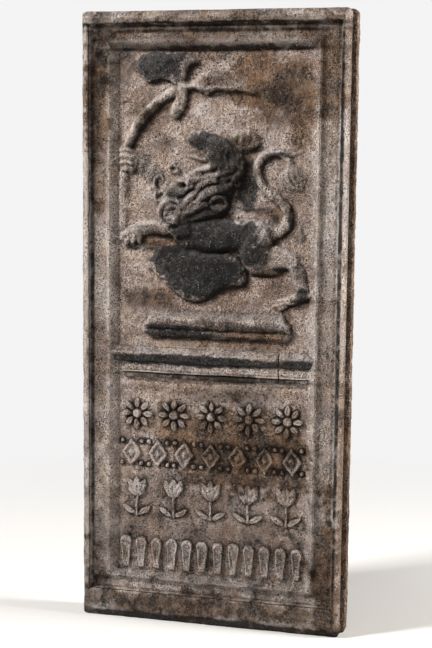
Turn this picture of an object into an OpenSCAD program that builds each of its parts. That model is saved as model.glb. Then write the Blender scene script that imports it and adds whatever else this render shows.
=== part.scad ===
// Cast-iron stove plate, kept today as a fireback.
// X runs to the right, Z up and -Y to the front. The origin is on the floor, under the middle of the plate.
// The real plate was cast in one piece from a wooden pattern. The pieces here are those of the pattern:
// a back board, rim battens, mitred mouldings, edge rails and the carved figure.

/* [Plate] */
// Height of the plate over its rim
plate_h = 650; // [600:1:700]
// Width of the plate over its front rim
plate_w = 284; // [270:1:310]
// Thickness of the back board, and so width of the grooves in the side edges
board_t = 10; // [8:0.5:14]
// Radius of the plate's outer corners
corner_r = 5; // [2:0.5:8]

/* [Rim] */
// How far the rim stands out in front of the board
rim_relief = 12; // [10:0.5:16]
// Width of the rim at each side
rim_side = 8; // [7:0.5:12]
// Width of the rim at the top
rim_top_w = 13; // [10:0.5:18]
// Width of the rim at the bottom
rim_bottom_w = 31; // [24:0.5:38]
// Width of the bevel on the rim's outer edge at the sides
bevel_side = 4.5; // [3:0.5:6]
// Width of the bevel on the rim's top edge
bevel_top = 7; // [4:0.5:9]
// Height of the bevel under the rim's bottom edge
bevel_bottom = 12; // [8:0.5:16]
// How deep the bevels run back
bevel_depth = 6; // [4:0.5:9]

/* [Mouldings] */
// Width of the moulding at each side
moulding_side = 31; // [26:0.5:36]
// Width of the moulding at the top
moulding_top_w = 26; // [22:0.5:30]
// Width of the moulding at the bottom
moulding_bottom_w = 22; // [18:0.5:26]
// Height of the moulding's crest over the board
crest_h = 8; // [6:0.5:9.5]
// Height of the fillet beside the rim
fillet_h = 9; // [7:0.5:9.5]
// Height of the hollow at its lowest
hollow_h = 4.5; // [3:0.5:5.5]
// Width of the sunk line between the fillet and the rim
quirk_w = 2.5; // [1.5:0.5:3]
// Height of the small step where the moulding meets the board
step_h = 1; // [0.5:0.1:2]
// Width of the flat lip left on each side of the hollow
lip_w = 0.4; // [0.2:0.1:0.8]

/* [Edge rails] */
// How far the rails stand out behind the board
rail_t = 14; // [10:0.5:18]
// How deep the side grooves run in from the front rim
groove_d = 12; // [8:0.5:16]
// How far the side rails reach past the front rim
rail_reach = 4; // [2:0.5:6]
// Width of a side rail behind the board, inside the groove
rail_seat = 14; // [10:0.5:20]
// Height of the rail along the top edge
rail_top_h = 9; // [6:0.5:14]
// Height of the rail along the bottom edge
rail_bottom_h = 10; // [6:0.5:14]

/* [Cornice] */
// Height of the cornice's top over the floor
cornice_top = 300; // [280:1:320]
// Height of the cornice's upper stick
stick_h = 17; // [14:0.5:20]
// How far the upper stick stands out
stick_relief = 7; // [5:0.5:9]
// Height of the plain band under the stick
frieze_h = 9; // [6:0.5:12]
// How far the plain band stands out
frieze_relief = 2; // [1:0.5:3]
// Height of the bead under the band
bead_h = 8; // [6:0.5:10]
// How far the bead stands out
bead_relief = 4; // [2.5:0.5:5]

/* [Ground bar] */
// Length of the bar that the lion stands over
bar_l = 164; // [140:1:180]
// Height of the bar
bar_h = 30; // [24:0.5:34]
// How far the bar stands out
bar_relief = 10; // [7:0.5:12]
// Gap between the cornice and the bar
bar_gap = 10; // [6:0.5:14]

/* [Figure] */
// How far the figure's highest form stands out
figure_relief = 11; // [8:0.5:12]

/* [Ornament rows] */
// How far the ornament stands out
ornament_relief = 2.5; // [1.5:0.5:4]
// Number of rosettes in the first row
rosettes = 5; // [4:1:6]
// Number of lozenges in the second row
lozenges = 7; // [5:1:9]
// Number of tulips in the third row
tulips = 5; // [4:1:6]
// Number of tongues in the fourth row
tongues = 12; // [9:1:15]

/* [Hidden] */
$fn = 64;
ground = "#8d8078";
patina = "#3f4040";
rust = "#6b4f3d";

depth = rim_relief + board_t + rail_t;
front_y = -depth / 2;
face_y = front_y + rim_relief;
back_y = face_y + board_t;
rail_y = back_y + rail_t;
half_w = plate_w / 2;
board_half = half_w - groove_d;
rail_half = half_w + rail_reach;

// The field is the board's open face, inside the mouldings.
field_half = half_w - rim_side - moulding_side;
field_top = plate_h - rim_top_w - moulding_top_w;
field_bottom = rim_bottom_w + moulding_bottom_w;

// The figure's points are given as drawn, from the plate's middle line and the cornice's top, for a field
// with this half width, this height over the cornice, the ground bar's top at this height and this relief.
drawn_for = [103, 311, 40, 11];
bar_top = bar_gap + bar_h;
draw_x = field_half / drawn_for[0];
draw_y = (field_top - cornice_top - bar_top) / (drawn_for[1] - drawn_for[2]);
draw_k = min(draw_x, draw_y);
draw_out = figure_relief / drawn_for[3];

// ---- How carved forms are made ----

// Children are drawn flat, X to the right, Y up and Z out of the board's face.
module on_board(x = 0, z = 0) translate([x, face_y, z]) rotate([90, 0, 0]) children();

function catmull(a, b, c, d, t) =
    0.5 * (2 * b + (c - a) * t + (2 * a - 5 * b + 4 * c - d) * t * t + (3 * b - a - 3 * c + d) * t * t * t);
function smooth_open(p, n) = [
    for (i = [0:len(p) - 2]) for (j = [0:n - 1])
        catmull(p[max(i - 1, 0)], p[i], p[i + 1], p[min(i + 2, len(p) - 1)], j / n),
    p[len(p) - 1]
];
function smooth_closed(p, n) = let (m = len(p)) [
    for (i = [0:m - 1]) for (j = [0:n - 1])
        catmull(p[(i + m - 1) % m], p[i], p[(i + 1) % m], p[(i + 2) % m], j / n)
];
function unit(v) = v / norm(v);
function heading(p, i) = let (
    a = p[max(i - 1, 0)],
    b = p[min(i + 1, len(p) - 1)]
) unit([b[0] - a[0], b[1] - a[1]]);

// A point of the drawing, and one with its [x, y, half width, height], brought to the plate's own size.
function at(q) = [q[0] * draw_x, bar_top + (q[1] - drawn_for[2]) * draw_y];
function drawn(q) = [at(q)[0], at(q)[1], q[2] * draw_k, q[3] * draw_out];

// Where two carved forms meet, the one behind is cut back to those in front of it. While they cut,
// the forms in front reach a little below the board's face.
$sunk = 0;
module cut_back() difference() {
    children(0);
    let ($sunk = 1) children([1:$children - 1]);
}

// One cross-section of a carved limb: half an ellipse, standing on the board.
function section(c, dir, sides, sharp) = let (
    rim = [for (k = [0:sides]) let (a = 180 * k / sides)
        [c[0] - dir[1] * c[2] * cos(a), c[1] + dir[0] * c[2] * cos(a), c[3] * pow(sin(a), sharp)]]
) $sunk == 0 ? rim : concat([rim[0] - [0, 0, $sunk]], rim, [rim[sides] - [0, 0, $sunk]]);

// The section b degrees round a limb's end, where the limb closes in to a point.
function end_section(c, dir, b, sides, sharp) = let (out = c[2] * sin(b))
    section([c[0] + dir[0] * out, c[1] + dir[1] * out, c[2] * cos(b), c[3] * cos(b)], dir, sides, sharp);

// A limb carved along a line, with rounded ends. Each point of the line is [x, y, half width, height].
module limb(line, steps = 2, sides = 6, sharp = 1) {
    path = smooth_open([for (q = line) drawn(q)], steps);
    last = len(path) - 1;
    rings = concat(
        [for (b = [-70, -40]) end_section(path[0], heading(path, 0), b, sides, sharp)],
        [for (i = [0:last]) section(path[i], heading(path, i), sides, sharp)],
        [for (b = [40, 70]) end_section(path[last], heading(path, last), b, sides, sharp)]
    );
    n = len(rings[0]);
    top = (len(rings) - 1) * n;
    polyhedron(
        points = [for (r = rings) each r],
        faces = concat(
            [[for (k = [0:n - 1]) k]],
            [[for (k = [n - 1:-1:0]) top + k]],
            [for (i = [0:len(rings) - 2]) for (k = [0:n - 1]) let (
                a = i * n + k,
                b = i * n + (k + 1) % n
            ) each [[a, a + n, b + n], [a, b + n, b]]]
        ),
        convexity = 6
    );
}

// A swelling form over a closed outline, given clockwise.
// Each level is [share of the outline, share of the height].
round_levels = [[1, 0], [0.97, 0.3], [0.88, 0.6], [0.7, 0.84], [0.42, 0.97]];
flat_levels = [[1, 0], [0.97, 0.75], [0.92, 0.92], [0.6, 1]];
module swelling(outline, crown, height, levels = round_levels, steps = 2) {
    edge = smooth_closed([for (q = outline) at(q)], steps);
    mid = at(crown);
    top = height * draw_out;
    rise = $sunk == 0 ? levels : concat([[1, -$sunk / top]], levels);
    n = len(edge);
    m = len(rise);
    polyhedron(
        points = concat(
            [for (l = rise) for (p = edge) let (q = mid + (p - mid) * l[0]) [q[0], q[1], top * l[1]]],
            [[mid[0], mid[1], top], [mid[0], mid[1], -$sunk]]
        ),
        faces = concat(
            [for (j = [0:m - 2]) for (i = [0:n - 1]) let (
                a = j * n + i,
                b = j * n + (i + 1) % n
            ) each [[a, b, b + n], [a, b + n, a + n]]],
            [for (i = [0:n - 1]) [(m - 1) * n + i, (m - 1) * n + (i + 1) % n, m * n]],
            [for (i = [0:n - 1]) [i, m * n + 1, (i + 1) % n]]
        ),
        convexity = 6
    );
}

// A curl of the mane: a rolled ring with a knob in it.
function dome(cx, rx, h, from = 180, n = 6) = [
    for (i = [0:n]) let (a = from * (1 - i / n)) [cx + rx * cos(a), h * sin(a)]
];
module curl(x, y, radius, roll, height) translate(at([x, y])) {
    r = radius * draw_k;
    tube = roll * draw_k;
    top = height * draw_out;
    rotate_extrude($fn = 20) polygon(concat(
        [[r - 2 * tube, -$sunk]], dome(r - tube, tube, top), [[r, -$sunk]]
    ));
    rotate_extrude($fn = 20) polygon(concat([[0, -$sunk]], dome(0, r - 2.6 * tube, top * 0.8, 90, 3),
        [[r - 2.6 * tube, -$sunk]]));
}

// ---- The plate ----

function arc(cx, cy, r, from, to, n = 6) = [
    for (i = [0:n]) let (a = from + (to - from) * i / n) [cx + r * cos(a), cy + r * sin(a)]
];
module rounded_plate(half, r) polygon(concat(
    arc(half - r, r, r, -90, 0),
    arc(half - r, plate_h - r, r, 0, 90),
    arc(r - half, plate_h - r, r, 90, 180),
    arc(r - half, r, r, 180, 270)
));

module back_plate() color(ground)
    translate([-board_half, face_y, 0]) cube([2 * board_half, board_t, plate_h]);

// The outlines that the rim's and the mouldings' mitred pieces are cut to, seen from the front.
rim_outer = [[-half_w, 0], [half_w, 0], [half_w, plate_h], [-half_w, plate_h]];
rim_inner = [
    [rim_side - half_w, rim_bottom_w], [half_w - rim_side, rim_bottom_w],
    [half_w - rim_side, plate_h - rim_top_w], [rim_side - half_w, plate_h - rim_top_w]
];
field = [
    [-field_half, field_bottom], [field_half, field_bottom],
    [field_half, field_top], [-field_half, field_top]
];

// One of the four sides between two outlines: 0 is the bottom, 1 the right, 2 the top and 3 the left.
module mitred(outer, inner, side, height) linear_extrude(height)
    polygon([outer[side], outer[(side + 1) % 4], inner[(side + 1) % 4], inner[side]]);

// The rim's bevels, cut off all its outer edges at once.
module bevels() {
    reach = plate_w + plate_h;
    for (s = [-1, 1]) translate([s * half_w, 0, rim_relief]) rotate([-90, 0, 0]) linear_extrude(plate_h)
        polygon([[s, -1], [-s * bevel_side, -1], [-s * bevel_side, 0], [0, bevel_depth],
        [s, bevel_depth]]);
    translate([-half_w, plate_h, rim_relief]) rotate([90, 0, 90]) linear_extrude(plate_w)
        polygon([[1, 1], [-bevel_top, 1], [-bevel_top, 0], [0, -bevel_depth], [1, -bevel_depth]]);
    translate([-half_w, 0, rim_relief]) rotate([90, 0, 90]) linear_extrude(plate_w)
        polygon([[-1, 1], [bevel_bottom, 1], [bevel_bottom, 0], [0, -bevel_depth], [-1, -bevel_depth]]);
}
module rim(side) on_board() difference() {
    intersection() {
        mitred(rim_outer, rim_inner, side, rim_relief);
        linear_extrude(rim_relief) rounded_plate(half_w, corner_r);
    }
    bevels();
}
module rim_bottom() color(ground) rim(0);
module rim_right() color(ground) rim(1);
module rim_top() color(ground) rim(2);
module rim_left() color(ground) rim(3);

// The moulding's profile from the field outwards: a small step, a slope up to the crest, a hollow,
// a fillet and the sunk line beside the rim. Its hollow is a true round.
module moulding_profile(w) {
    crest_u = w * 0.28;
    crest_flat = w * 0.05;
    fillet_w = w * 0.06;
    hollow_from = crest_u + crest_flat;
    hollow_to = w - quirk_w - fillet_w;
    chord = norm([hollow_to - hollow_from, fillet_h - crest_h]) - 2 * lip_w;
    sag = (crest_h + fillet_h) / 2 - hollow_h;
    r = (chord * chord / 4 + sag * sag) / (2 * sag);
    tilt = atan2(fillet_h - crest_h, hollow_to - hollow_from);
    difference() {
        polygon([
            [0, 0], [0, step_h], [crest_u, crest_h], [hollow_from, crest_h], [hollow_to, fillet_h],
            [w - quirk_w, fillet_h], [w - quirk_w, hollow_h], [w, hollow_h], [w, 0]
        ]);
        translate([(hollow_from + hollow_to) / 2, (crest_h + fillet_h) / 2])
            rotate(tilt) translate([0, r - sag]) circle(r);
    }
}
module moulding(side, w) on_board() intersection() {
    mitred(rim_inner, field, side, rim_relief);
    if (side == 0) translate([half_w, field_bottom, 0]) rotate([90, 0, -90]) linear_extrude(plate_w)
        moulding_profile(w);
    if (side == 1) translate([field_half, plate_h, 0]) rotate([90, 0, 0]) linear_extrude(plate_h)
        moulding_profile(w);
    if (side == 2) translate([-half_w, field_top, 0]) rotate([90, 0, 90]) linear_extrude(plate_w)
        moulding_profile(w);
    if (side == 3) translate([-field_half, 0, 0]) rotate([90, 0, 180]) linear_extrude(plate_h)
        moulding_profile(w);
}
module moulding_bottom() color(ground) moulding(0, moulding_bottom_w);
module moulding_right() color(ground) moulding(1, moulding_side);
module moulding_top() color(ground) moulding(2, moulding_top_w);
module moulding_left() color(ground) moulding(3, moulding_side);

// The rails behind the board. Between a side rail and the rim runs a groove for the next plate's edge.
module side_rail(s) color(rust) intersection() {
    translate([0, rail_y, 0]) rotate([90, 0, 0]) linear_extrude(rail_t) rounded_plate(rail_half, corner_r);
    translate([s > 0 ? board_half - rail_seat : -rail_half, back_y, 0])
        cube([rail_half - board_half + rail_seat, rail_t, plate_h]);
}
module edge_rail_left() side_rail(-1);
module edge_rail_right() side_rail(1);
module end_rail(z, h) color(rust) translate([rail_seat - board_half, back_y, z])
    cube([2 * (board_half - rail_seat), rail_t, h]);
module edge_rail_top() end_rail(plate_h - rail_top_h, rail_top_h);
module edge_rail_bottom() end_rail(0, rail_bottom_h);

// The short fillings that close each groove at its two ends.
module groove_stops() color(rust) for (s = [-1, 1]) for (end = [[0, rail_bottom_h],
[plate_h - rail_top_h, rail_top_h]])
    intersection() {
        translate([0, back_y, 0]) rotate([90, 0, 0]) linear_extrude(board_t)
            rounded_plate(half_w, corner_r);
        translate([s > 0 ? board_half : -half_w, face_y, end[0]]) cube([groove_d, board_t, end[1]]);
    }

// ---- The cornice and the ground bar ----

cornice_left = -113;
cornice_joint = 72;
joint_gap = 1.2;
cornice_right = 110;
bead_left = -99;
bead_right = 104;
stick_z = cornice_top - stick_h;
frieze_z = stick_z - frieze_h;
bead_z = frieze_z - bead_h;

// A profile run along X. Each point of the profile is [up from z, out of the board].
module run(from, to, z, profile) translate([from, z, 0]) rotate([90, 0, 90]) linear_extrude(to - from)
    polygon(profile);
stick_profile = [
    [0, 0], [0, stick_relief * 0.4], [stick_h * 0.15, stick_relief * 0.75],
    [stick_h * 0.35, stick_relief * 0.8],
    [stick_h * 0.62, stick_relief], [stick_h * 0.72, stick_relief * 0.9], [stick_h, 0]
];
bead_profile = [
    [0, 0], [bead_h * 0.12, bead_relief * 0.6], [bead_h * 0.38, bead_relief * 0.9],
    [bead_h * 0.5, bead_relief],
    [bead_h * 0.62, bead_relief * 0.7], [bead_h * 0.85, bead_relief * 0.75], [bead_h, frieze_relief],
    [bead_h, 0]
];
frieze_profile = [[0, 0], [0, frieze_relief], [frieze_h, frieze_relief], [frieze_h, 0]];

// The ends, seen from the front: the stick ends square at the left, and the end block is cut in under it.
module cornice_left_end() polygon([
    [cornice_left * draw_x, stick_z], [cornice_left * draw_x, cornice_top], [cornice_joint, cornice_top],
    [cornice_joint, bead_z], [bead_left * draw_x + bead_h / 2, bead_z],
    [bead_left * draw_x, bead_z + bead_h / 2],
    [bead_left * draw_x + bead_h / 2, stick_z]
]);
module cornice_right_end() polygon([
    [cornice_joint + joint_gap, cornice_top], [cornice_right * draw_x, cornice_top],
    [cornice_right * draw_x + 2, stick_z], [cornice_right * draw_x - 2, frieze_z + frieze_h * 0.4],
    [bead_right * draw_x, frieze_z - bead_h * 0.4], [bead_right * draw_x - 3, bead_z],
    [cornice_joint + joint_gap, bead_z]
]);
module cornice_part(z, profile, left) difference() {
    on_board() intersection() {
        run(-half_w, half_w, z, profile);
        linear_extrude(rim_relief) if (left) cornice_left_end(); else cornice_right_end();
    }
    moulding(left ? 3 : 1, moulding_side);
}
module cornice_stick() color(patina) cornice_part(stick_z, stick_profile, true);
module cornice_frieze() color(ground) cornice_part(frieze_z, frieze_profile, true);
module cornice_bead() color(ground) cornice_part(bead_z, bead_profile, true);
module cornice_end_stick() color(patina) cornice_part(stick_z, stick_profile, false);
module cornice_end_frieze() color(ground) cornice_part(frieze_z, frieze_profile, false);
module cornice_end_bead() color(ground) cornice_part(bead_z, bead_profile, false);

bar_middle = 5;
bar_z = cornice_top + bar_gap;
module ground_bar() color(patina) on_board() intersection() {
    run(-half_w, half_w, bar_z, [
        [0, 0], [bar_h * 0.04, bar_relief * 0.4], [bar_h * 0.27, bar_relief * 0.5],
        [bar_h * 0.33, bar_relief * 0.35],
        [bar_h * 0.38, bar_relief * 0.65], [bar_h * 0.66, bar_relief],
        [bar_h * 0.97, bar_relief * 0.2], [bar_h, 0]
    ]);
    translate([bar_middle - bar_l / 2, bar_z, 0]) linear_extrude(bar_relief) polygon([
        [0, bar_h * 0.3], [bar_h * 0.2, bar_h * 0.55], [bar_h * 0.33, bar_h],
        [bar_l - bar_h * 0.35, bar_h],
        [bar_l - bar_h * 0.1, bar_h * 0.6], [bar_l, bar_h * 0.25], [bar_l - bar_h * 0.25, 0],
        [bar_h * 0.3, 0]
    ]);
}

// ---- The figure: points are [x, y] from the plate's middle line and the cornice's top ----

module in_field() on_board(0, cornice_top) children();

shaft_h = 5;
module shaft_form() limb([
    [-98, 128, 5, 3.5], [-98, 160, 5, 4], [-97, 192, 5, shaft_h], [-94, 210, 5, shaft_h],
    [-87, 224, 5, shaft_h],
    [-78, 239, 5, shaft_h], [-68, 250, 5, shaft_h], [-56, 260, 5, shaft_h], [-45, 268, 5, shaft_h]
]);
module blade_form() swelling([
    [-79, 305], [-62, 307], [-44, 306], [-35, 307], [-26, 305], [-17, 299], [-23, 296], [-28, 290],
    [-30, 282],
    [-33, 274], [-42, 275], [-50, 280], [-60, 280], [-68, 277], [-77, 282], [-82, 294]
], [-48, 291], 6, flat_levels, 2);
module fluke_form() limb([
    [-33, 273, 5, 6], [-20, 275, 7, 6.5], [-7, 276, 11, 6.5], [7, 276, 9, 6], [21, 275, 6, 5],
    [33, 271, 4, 4],
    [43, 266, 2, 2.5]
], sharp = 1.5);
module langet_form() limb([[-35, 271, 6.5, 5], [-35, 261, 6.5, 5], [-38, 252, 6.5, 4.5],
[-41, 246, 6, 4]]);

module far_leg_form() swelling([
    [-70, 94], [-62, 103], [-50, 108], [-36, 108], [-20, 103], [0, 101], [24, 99], [34, 92], [39, 78],
    [33, 69],
    [20, 66], [8, 61], [-4, 53], [-16, 49], [-28, 50], [-39, 57], [-49, 65], [-60, 74], [-72, 84]
], [-16, 80], 8, [[1, 0], [0.97, 0.45], [0.86, 0.9], [0.6, 1]], 1);
module body_form() limb([
    [-30, 121, 9, 6], [-14, 122, 15, 9], [0, 121, 18, 10], [14, 121, 18, 10], [28, 121, 17, 9],
    [46, 122, 15, 7]
], sides = 7);
module haunch_form() swelling([
    [27, 105], [30, 120], [38, 132], [50, 137], [60, 132], [65, 120], [66, 106], [67, 93], [60, 82],
    [50, 79],
    [40, 82], [32, 91]
], [47, 109], 11);
module hind_leg_form() limb([
    [60, 98, 18, 8], [74, 98, 14, 7], [86, 90, 10, 5.5], [91, 77, 8, 5], [94, 66, 7, 5]
]);
module hind_foot_form() {
    limb([[96, 59, 6, 6], [89, 57, 6, 6], [79, 53, 5.5, 5.5], [69, 49, 5, 4.5]]);
    for (toe = [[70, 52], [67, 48], [71, 45]]) hull() {
        knob(toe, 2.2, 3.1);
        knob(toe - [5, 1.5], 1.4, 1.4);
    }
}
// A rounded knob on the board: the tip of a toe or a claw.
module knob(p, r, height) translate(at(p)) rotate_extrude($fn = 12)
    polygon(concat([[0, -$sunk]], dome(0, r * draw_k, height * draw_out, 90, 4), [[r * draw_k, -$sunk]]));
module tail_form() limb([
    [55, 122, 7, 6], [63, 121, 6, 6], [72, 125, 5.5, 6], [78, 132, 5.5, 6], [79, 142, 5, 6],
    [74, 151, 5, 6],
    [66, 158, 5, 6], [57, 165, 5, 6], [50, 175, 5, 6], [47, 186, 5, 6], [49, 197, 5, 6], [57, 205, 5, 6],
    [67, 207, 5, 6], [76, 203, 4.5, 5.5], [80, 195, 4, 5]
]);
module tuft_form() {
    limb([[81, 190, 5, 5], [82, 182, 5, 5], [87, 175, 4.5, 4.5], [94, 172, 3, 3]]);
    limb([[86, 193, 3, 4], [92, 188, 3.5, 4], [95, 182, 3, 3]]);
    limb([[84, 203, 2.5, 3], [90, 207, 2.5, 3], [97, 209, 1.5, 2]]);
}
module mane_form() swelling([
    [-50, 130], [-57, 143], [-54, 157], [-51, 166], [-44, 175], [-30, 179], [-14, 185], [-2, 194],
    [14, 202],
    [30, 203], [34, 192], [30, 180], [24, 170], [18, 160], [17, 150], [12, 141], [0, 137], [-15, 134],
    [-30, 130],
    [-42, 127]
], [-10, 160], 9, round_levels, 1);
locks = [
    [[-27, 178, 3, 8], [-14, 178, 4, 11], [-2, 178, 4, 11], [9, 183, 3.5, 10], [20, 192, 3, 8]],
    [[-22, 162, 3, 9], [-13, 168, 4, 12], [-1, 171, 4, 12], [10, 177, 4, 11], [21, 184, 3, 8]],
    [[-26, 153, 3, 9], [-16, 159, 4, 12], [-4, 162, 4.5, 12.5], [8, 168, 4, 11.5], [19, 174, 3, 8]],
    [[-50, 152, 3, 6], [-38, 154, 3.5, 9], [-28, 150, 3.5, 10], [-17, 151, 4, 11], [-6, 155, 4, 11.5],
    [6, 161, 3, 10]],
    [[-52, 140, 3, 5.5], [-45, 147, 3.5, 7.5], [-33, 146, 3.5, 9], [-22, 142, 3.5, 10],
    [-10, 145, 3.5, 10]],
    [[-30, 136, 3, 6], [-18, 137, 3.5, 8], [-6, 141, 3.5, 9.5]]
];
module curls_form() {
    curl(-59.5, 171, 7.5, 2.2, 5);
    curl(-44, 186, 5.5, 1.8, 4);
    curl(-58, 157, 4, 1.5, 4);
}
module big_curl_form() curl(-43, 136, 8, 2.6, 9);
module small_curl_form() curl(7, 150, 7.5, 2.2, 10);
module head_form() swelling([
    [-27, 221], [-21, 228], [-10, 227], [0, 223], [11, 219], [21, 214], [30, 207], [34, 198],
    [32, 188], [22, 184],
    [12, 184], [3, 188], [-4, 194], [-9, 201], [-16, 207], [-23, 213]
], [8, 205], 11, round_levels, 1);
module jaw_form() {
    limb([[-1, 194, 3.5, 8], [-8, 189, 4, 8], [-17, 186, 4.5, 6.5], [-27, 180, 3.5, 5]]);
    limb([[-9, 199, 2, 5], [-17, 201, 2.5, 5], [-25, 202, 2, 3.5]]);
}
module crown_form() {
    swelling([
        [19, 215], [21, 226], [26, 236], [34, 236], [39, 231], [44, 225], [49, 214], [42, 210],
        [34, 207], [26, 209]
    ], [32, 219], 5, flat_levels, 2);
}
module raised_arm_form() limb([
    [-86, 200, 7, 4], [-78, 195, 8, 4.5], [-66, 185, 9, 5], [-54, 173, 9, 5]
]);
module raised_paw_form() {
    for (toe = [[-95, 208], [-96, 201], [-96, 194], [-95, 187]]) hull() {
        knob(toe + [-4, 1.5], 2.6, 5.7);
        knob(toe + [6, -1], 3, 6.6);
    }
    limb([[-90, 207, 5, 5], [-87, 198, 7, 5.5], [-89, 187, 5, 5]]);
}
module lower_arm_form() limb([
    [-34, 124, 9, 9], [-47, 126, 9, 8.5], [-60, 128, 8, 8], [-72, 126, 8, 7.5], [-82, 122, 7.5, 7]
]);
module lower_paw_form() {
    limb([[-76, 124, 8, 7.5], [-84, 121, 9, 7.5], [-91, 117, 8, 7], [-96, 114, 5, 5.5]]);
    // Each toe reaches back to the middle of the paw.
    for (toe = [[-98, 116], [-94, 110], [-87, 108], [-80, 110]]) hull() {
        knob([-85, 120], 4, 5.5);
        knob(toe, 3.4, 4.8);
        knob(toe - [1, 2.5], 2, 2.4);
    }
}

module halberd_shaft() color(ground) in_field() cut_back() {
    shaft_form();
    raised_paw_form();
    blade_form();
    langet_form();
    fluke_form();
}
module halberd_blade() color(patina) in_field() cut_back() {
    blade_form();
    langet_form();
    fluke_form();
}
module halberd_fluke() color(ground) in_field() fluke_form();
module halberd_langet() color(ground) in_field() cut_back() {
    langet_form();
    fluke_form();
}
module lion_far_hind_leg() color(patina) in_field() cut_back() {
    far_leg_form();
    body_form();
    haunch_form();
    lower_arm_form();
    lower_paw_form();
}
module lion_body() color(patina) in_field() cut_back() {
    body_form();
    haunch_form();
    mane_form();
    lower_arm_form();
}
module lion_haunch() color(patina) in_field() haunch_form();
module lion_near_hind_leg() color(ground) in_field() cut_back() {
    hind_leg_form();
    haunch_form();
    hind_foot_form();
}
module lion_near_hind_foot() color(ground) in_field() hind_foot_form();
module lion_tail() color(ground) in_field() cut_back() {
    tail_form();
    haunch_form();
}
module lion_tail_tuft() color(rust) in_field() cut_back() {
    tuft_form();
    tail_form();
}
module lion_mane() color(patina) in_field() cut_back() {
    union() {
        mane_form();
        for (lock = locks) limb(lock, sides = 5);
    }
    head_form();
    jaw_form();
    big_curl_form();
    small_curl_form();
    lower_arm_form();
}
module lion_mane_curls() color(patina) in_field() {
    cut_back() {
        curls_form();
        mane_form();
    }
    cut_back() {
        big_curl_form();
        lower_arm_form();
    }
    small_curl_form();
}
module lion_head() color(patina) in_field() cut_back() {
    head_form();
    jaw_form();
}
module lion_lower_jaw() color(patina) in_field() jaw_form();
module lion_crown() color(ground) in_field() cut_back() {
    crown_form();
    head_form();
}
module lion_raised_foreleg() color(ground) in_field() cut_back() {
    raised_arm_form();
    raised_paw_form();
    curls_form();
    mane_form();
}
module lion_raised_paw() color(ground) in_field() raised_paw_form();
module lion_lower_foreleg() color(ground) in_field() cut_back() {
    lower_arm_form();
    lower_paw_form();
}
module lion_lower_paw() color(ground) in_field() lower_paw_form();

// ---- The ornament rows, in the place of the raised band below the cornice ----

// A pointed leaf between two true arcs, from its foot up along Y.
module leaf(l, w) {
    r = (l * l + w * w) / (4 * w);
    intersection() {
        translate([r - w / 2, l / 2, 0]) cylinder(r = r, h = ornament_relief);
        translate([w / 2 - r, l / 2, 0]) cylinder(r = r, h = ornament_relief);
    }
}
module pellet(x, y, r) translate([x, y, 0]) cylinder(r1 = r, r2 = r * 0.6, h = ornament_relief);
// Children stand side by side across the field, in a row with its middle at height z.
module row(n, z, half = field_half) on_board(0, z)
    for (i = [0:n - 1]) translate([(2 * i + 1 - n) * half / n, 0, 0]) children();

field_low = cornice_top - stick_h - frieze_h - bead_h - field_bottom;
row_unit = field_low / 213;
rosette_z = field_bottom + 173.5 * row_unit;
lozenge_z = field_bottom + 131 * row_unit;
tulip_z = field_bottom + 83 * row_unit;
tongue_z = field_bottom + 20.5 * row_unit;

rosette_r = min(18 * row_unit, 0.46 * field_half * 2 / rosettes);
petals = 8;
module rosette_row() color(ground) row(rosettes, rosette_z) {
    for (k = [0:petals - 1]) rotate(k * 360 / petals) translate([0, rosette_r * 0.32, 0])
        leaf(rosette_r * 0.68, rosette_r * 0.36);
    cylinder(r = rosette_r * 0.28, h = ornament_relief);
}
module lozenge_row() color(rust) row(lozenges, lozenge_z) {
    w = field_half * 2 / lozenges;
    h = 17 * row_unit;
    polyhedron([
        [0, -h, 0], [w * 0.42, 0, 0], [0, h, 0], [-w * 0.42, 0, 0],
        [0, -h * 0.3, ornament_relief], [w * 0.126, 0, ornament_relief], [0, h * 0.3, ornament_relief],
        [-w * 0.126, 0, ornament_relief]
    ], [[0, 1, 2, 3], [7, 6, 5, 4], [0, 4, 5, 1], [1, 5, 6, 2], [2, 6, 7, 3], [3, 7, 4, 0]]);
    for (s = [-1, 1]) for (t = [-1, 1]) pellet(s * w * 0.36, t * h * 0.72, w * 0.08);
}
module tulip_row() color(ground) row(tulips, tulip_z) {
    h = 23 * row_unit;
    w = field_half * 2 / tulips;
    for (a = [-24, 0, 24]) translate([0, -h * 0.1, 0]) rotate(a) leaf(h * 1.08, h * 0.46);
    for (s = [-1, 1]) translate([0, -h * 0.95, 0]) rotate(s * 58) leaf(min(h, w * 0.5), h * 0.3);
    translate([-h * 0.055, -h, 0]) cube([h * 0.11, h, ornament_relief]);
}
module tongue_row() color(ground) row(tongues, tongue_z) {
    w = field_half * 2 / tongues;
    h = 18 * row_unit;
    translate([0, h - w * 0.38, 0]) cylinder(r = w * 0.38, h = ornament_relief);
    linear_extrude(ornament_relief) polygon([
        [-w * 0.2, -h], [w * 0.2, -h], [w * 0.36, h - w * 0.38], [-w * 0.36, h - w * 0.38]
    ]);
}

back_plate();
rim_top();
rim_bottom();
rim_left();
rim_right();
moulding_top();
moulding_bottom();
moulding_left();
moulding_right();
edge_rail_top();
edge_rail_bottom();
edge_rail_left();
edge_rail_right();
groove_stops();
cornice_stick();
cornice_frieze();
cornice_bead();
cornice_end_stick();
cornice_end_frieze();
cornice_end_bead();
ground_bar();
halberd_shaft();
halberd_blade();
halberd_fluke();
halberd_langet();
lion_far_hind_leg();
lion_body();
lion_haunch();
lion_near_hind_leg();
lion_near_hind_foot();
lion_tail();
lion_tail_tuft();
lion_mane();
lion_mane_curls();
lion_head();
lion_lower_jaw();
lion_crown();
lion_raised_foreleg();
lion_raised_paw();
lion_lower_foreleg();
lion_lower_paw();
rosette_row();
lozenge_row();
tulip_row();
tongue_row();
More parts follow.
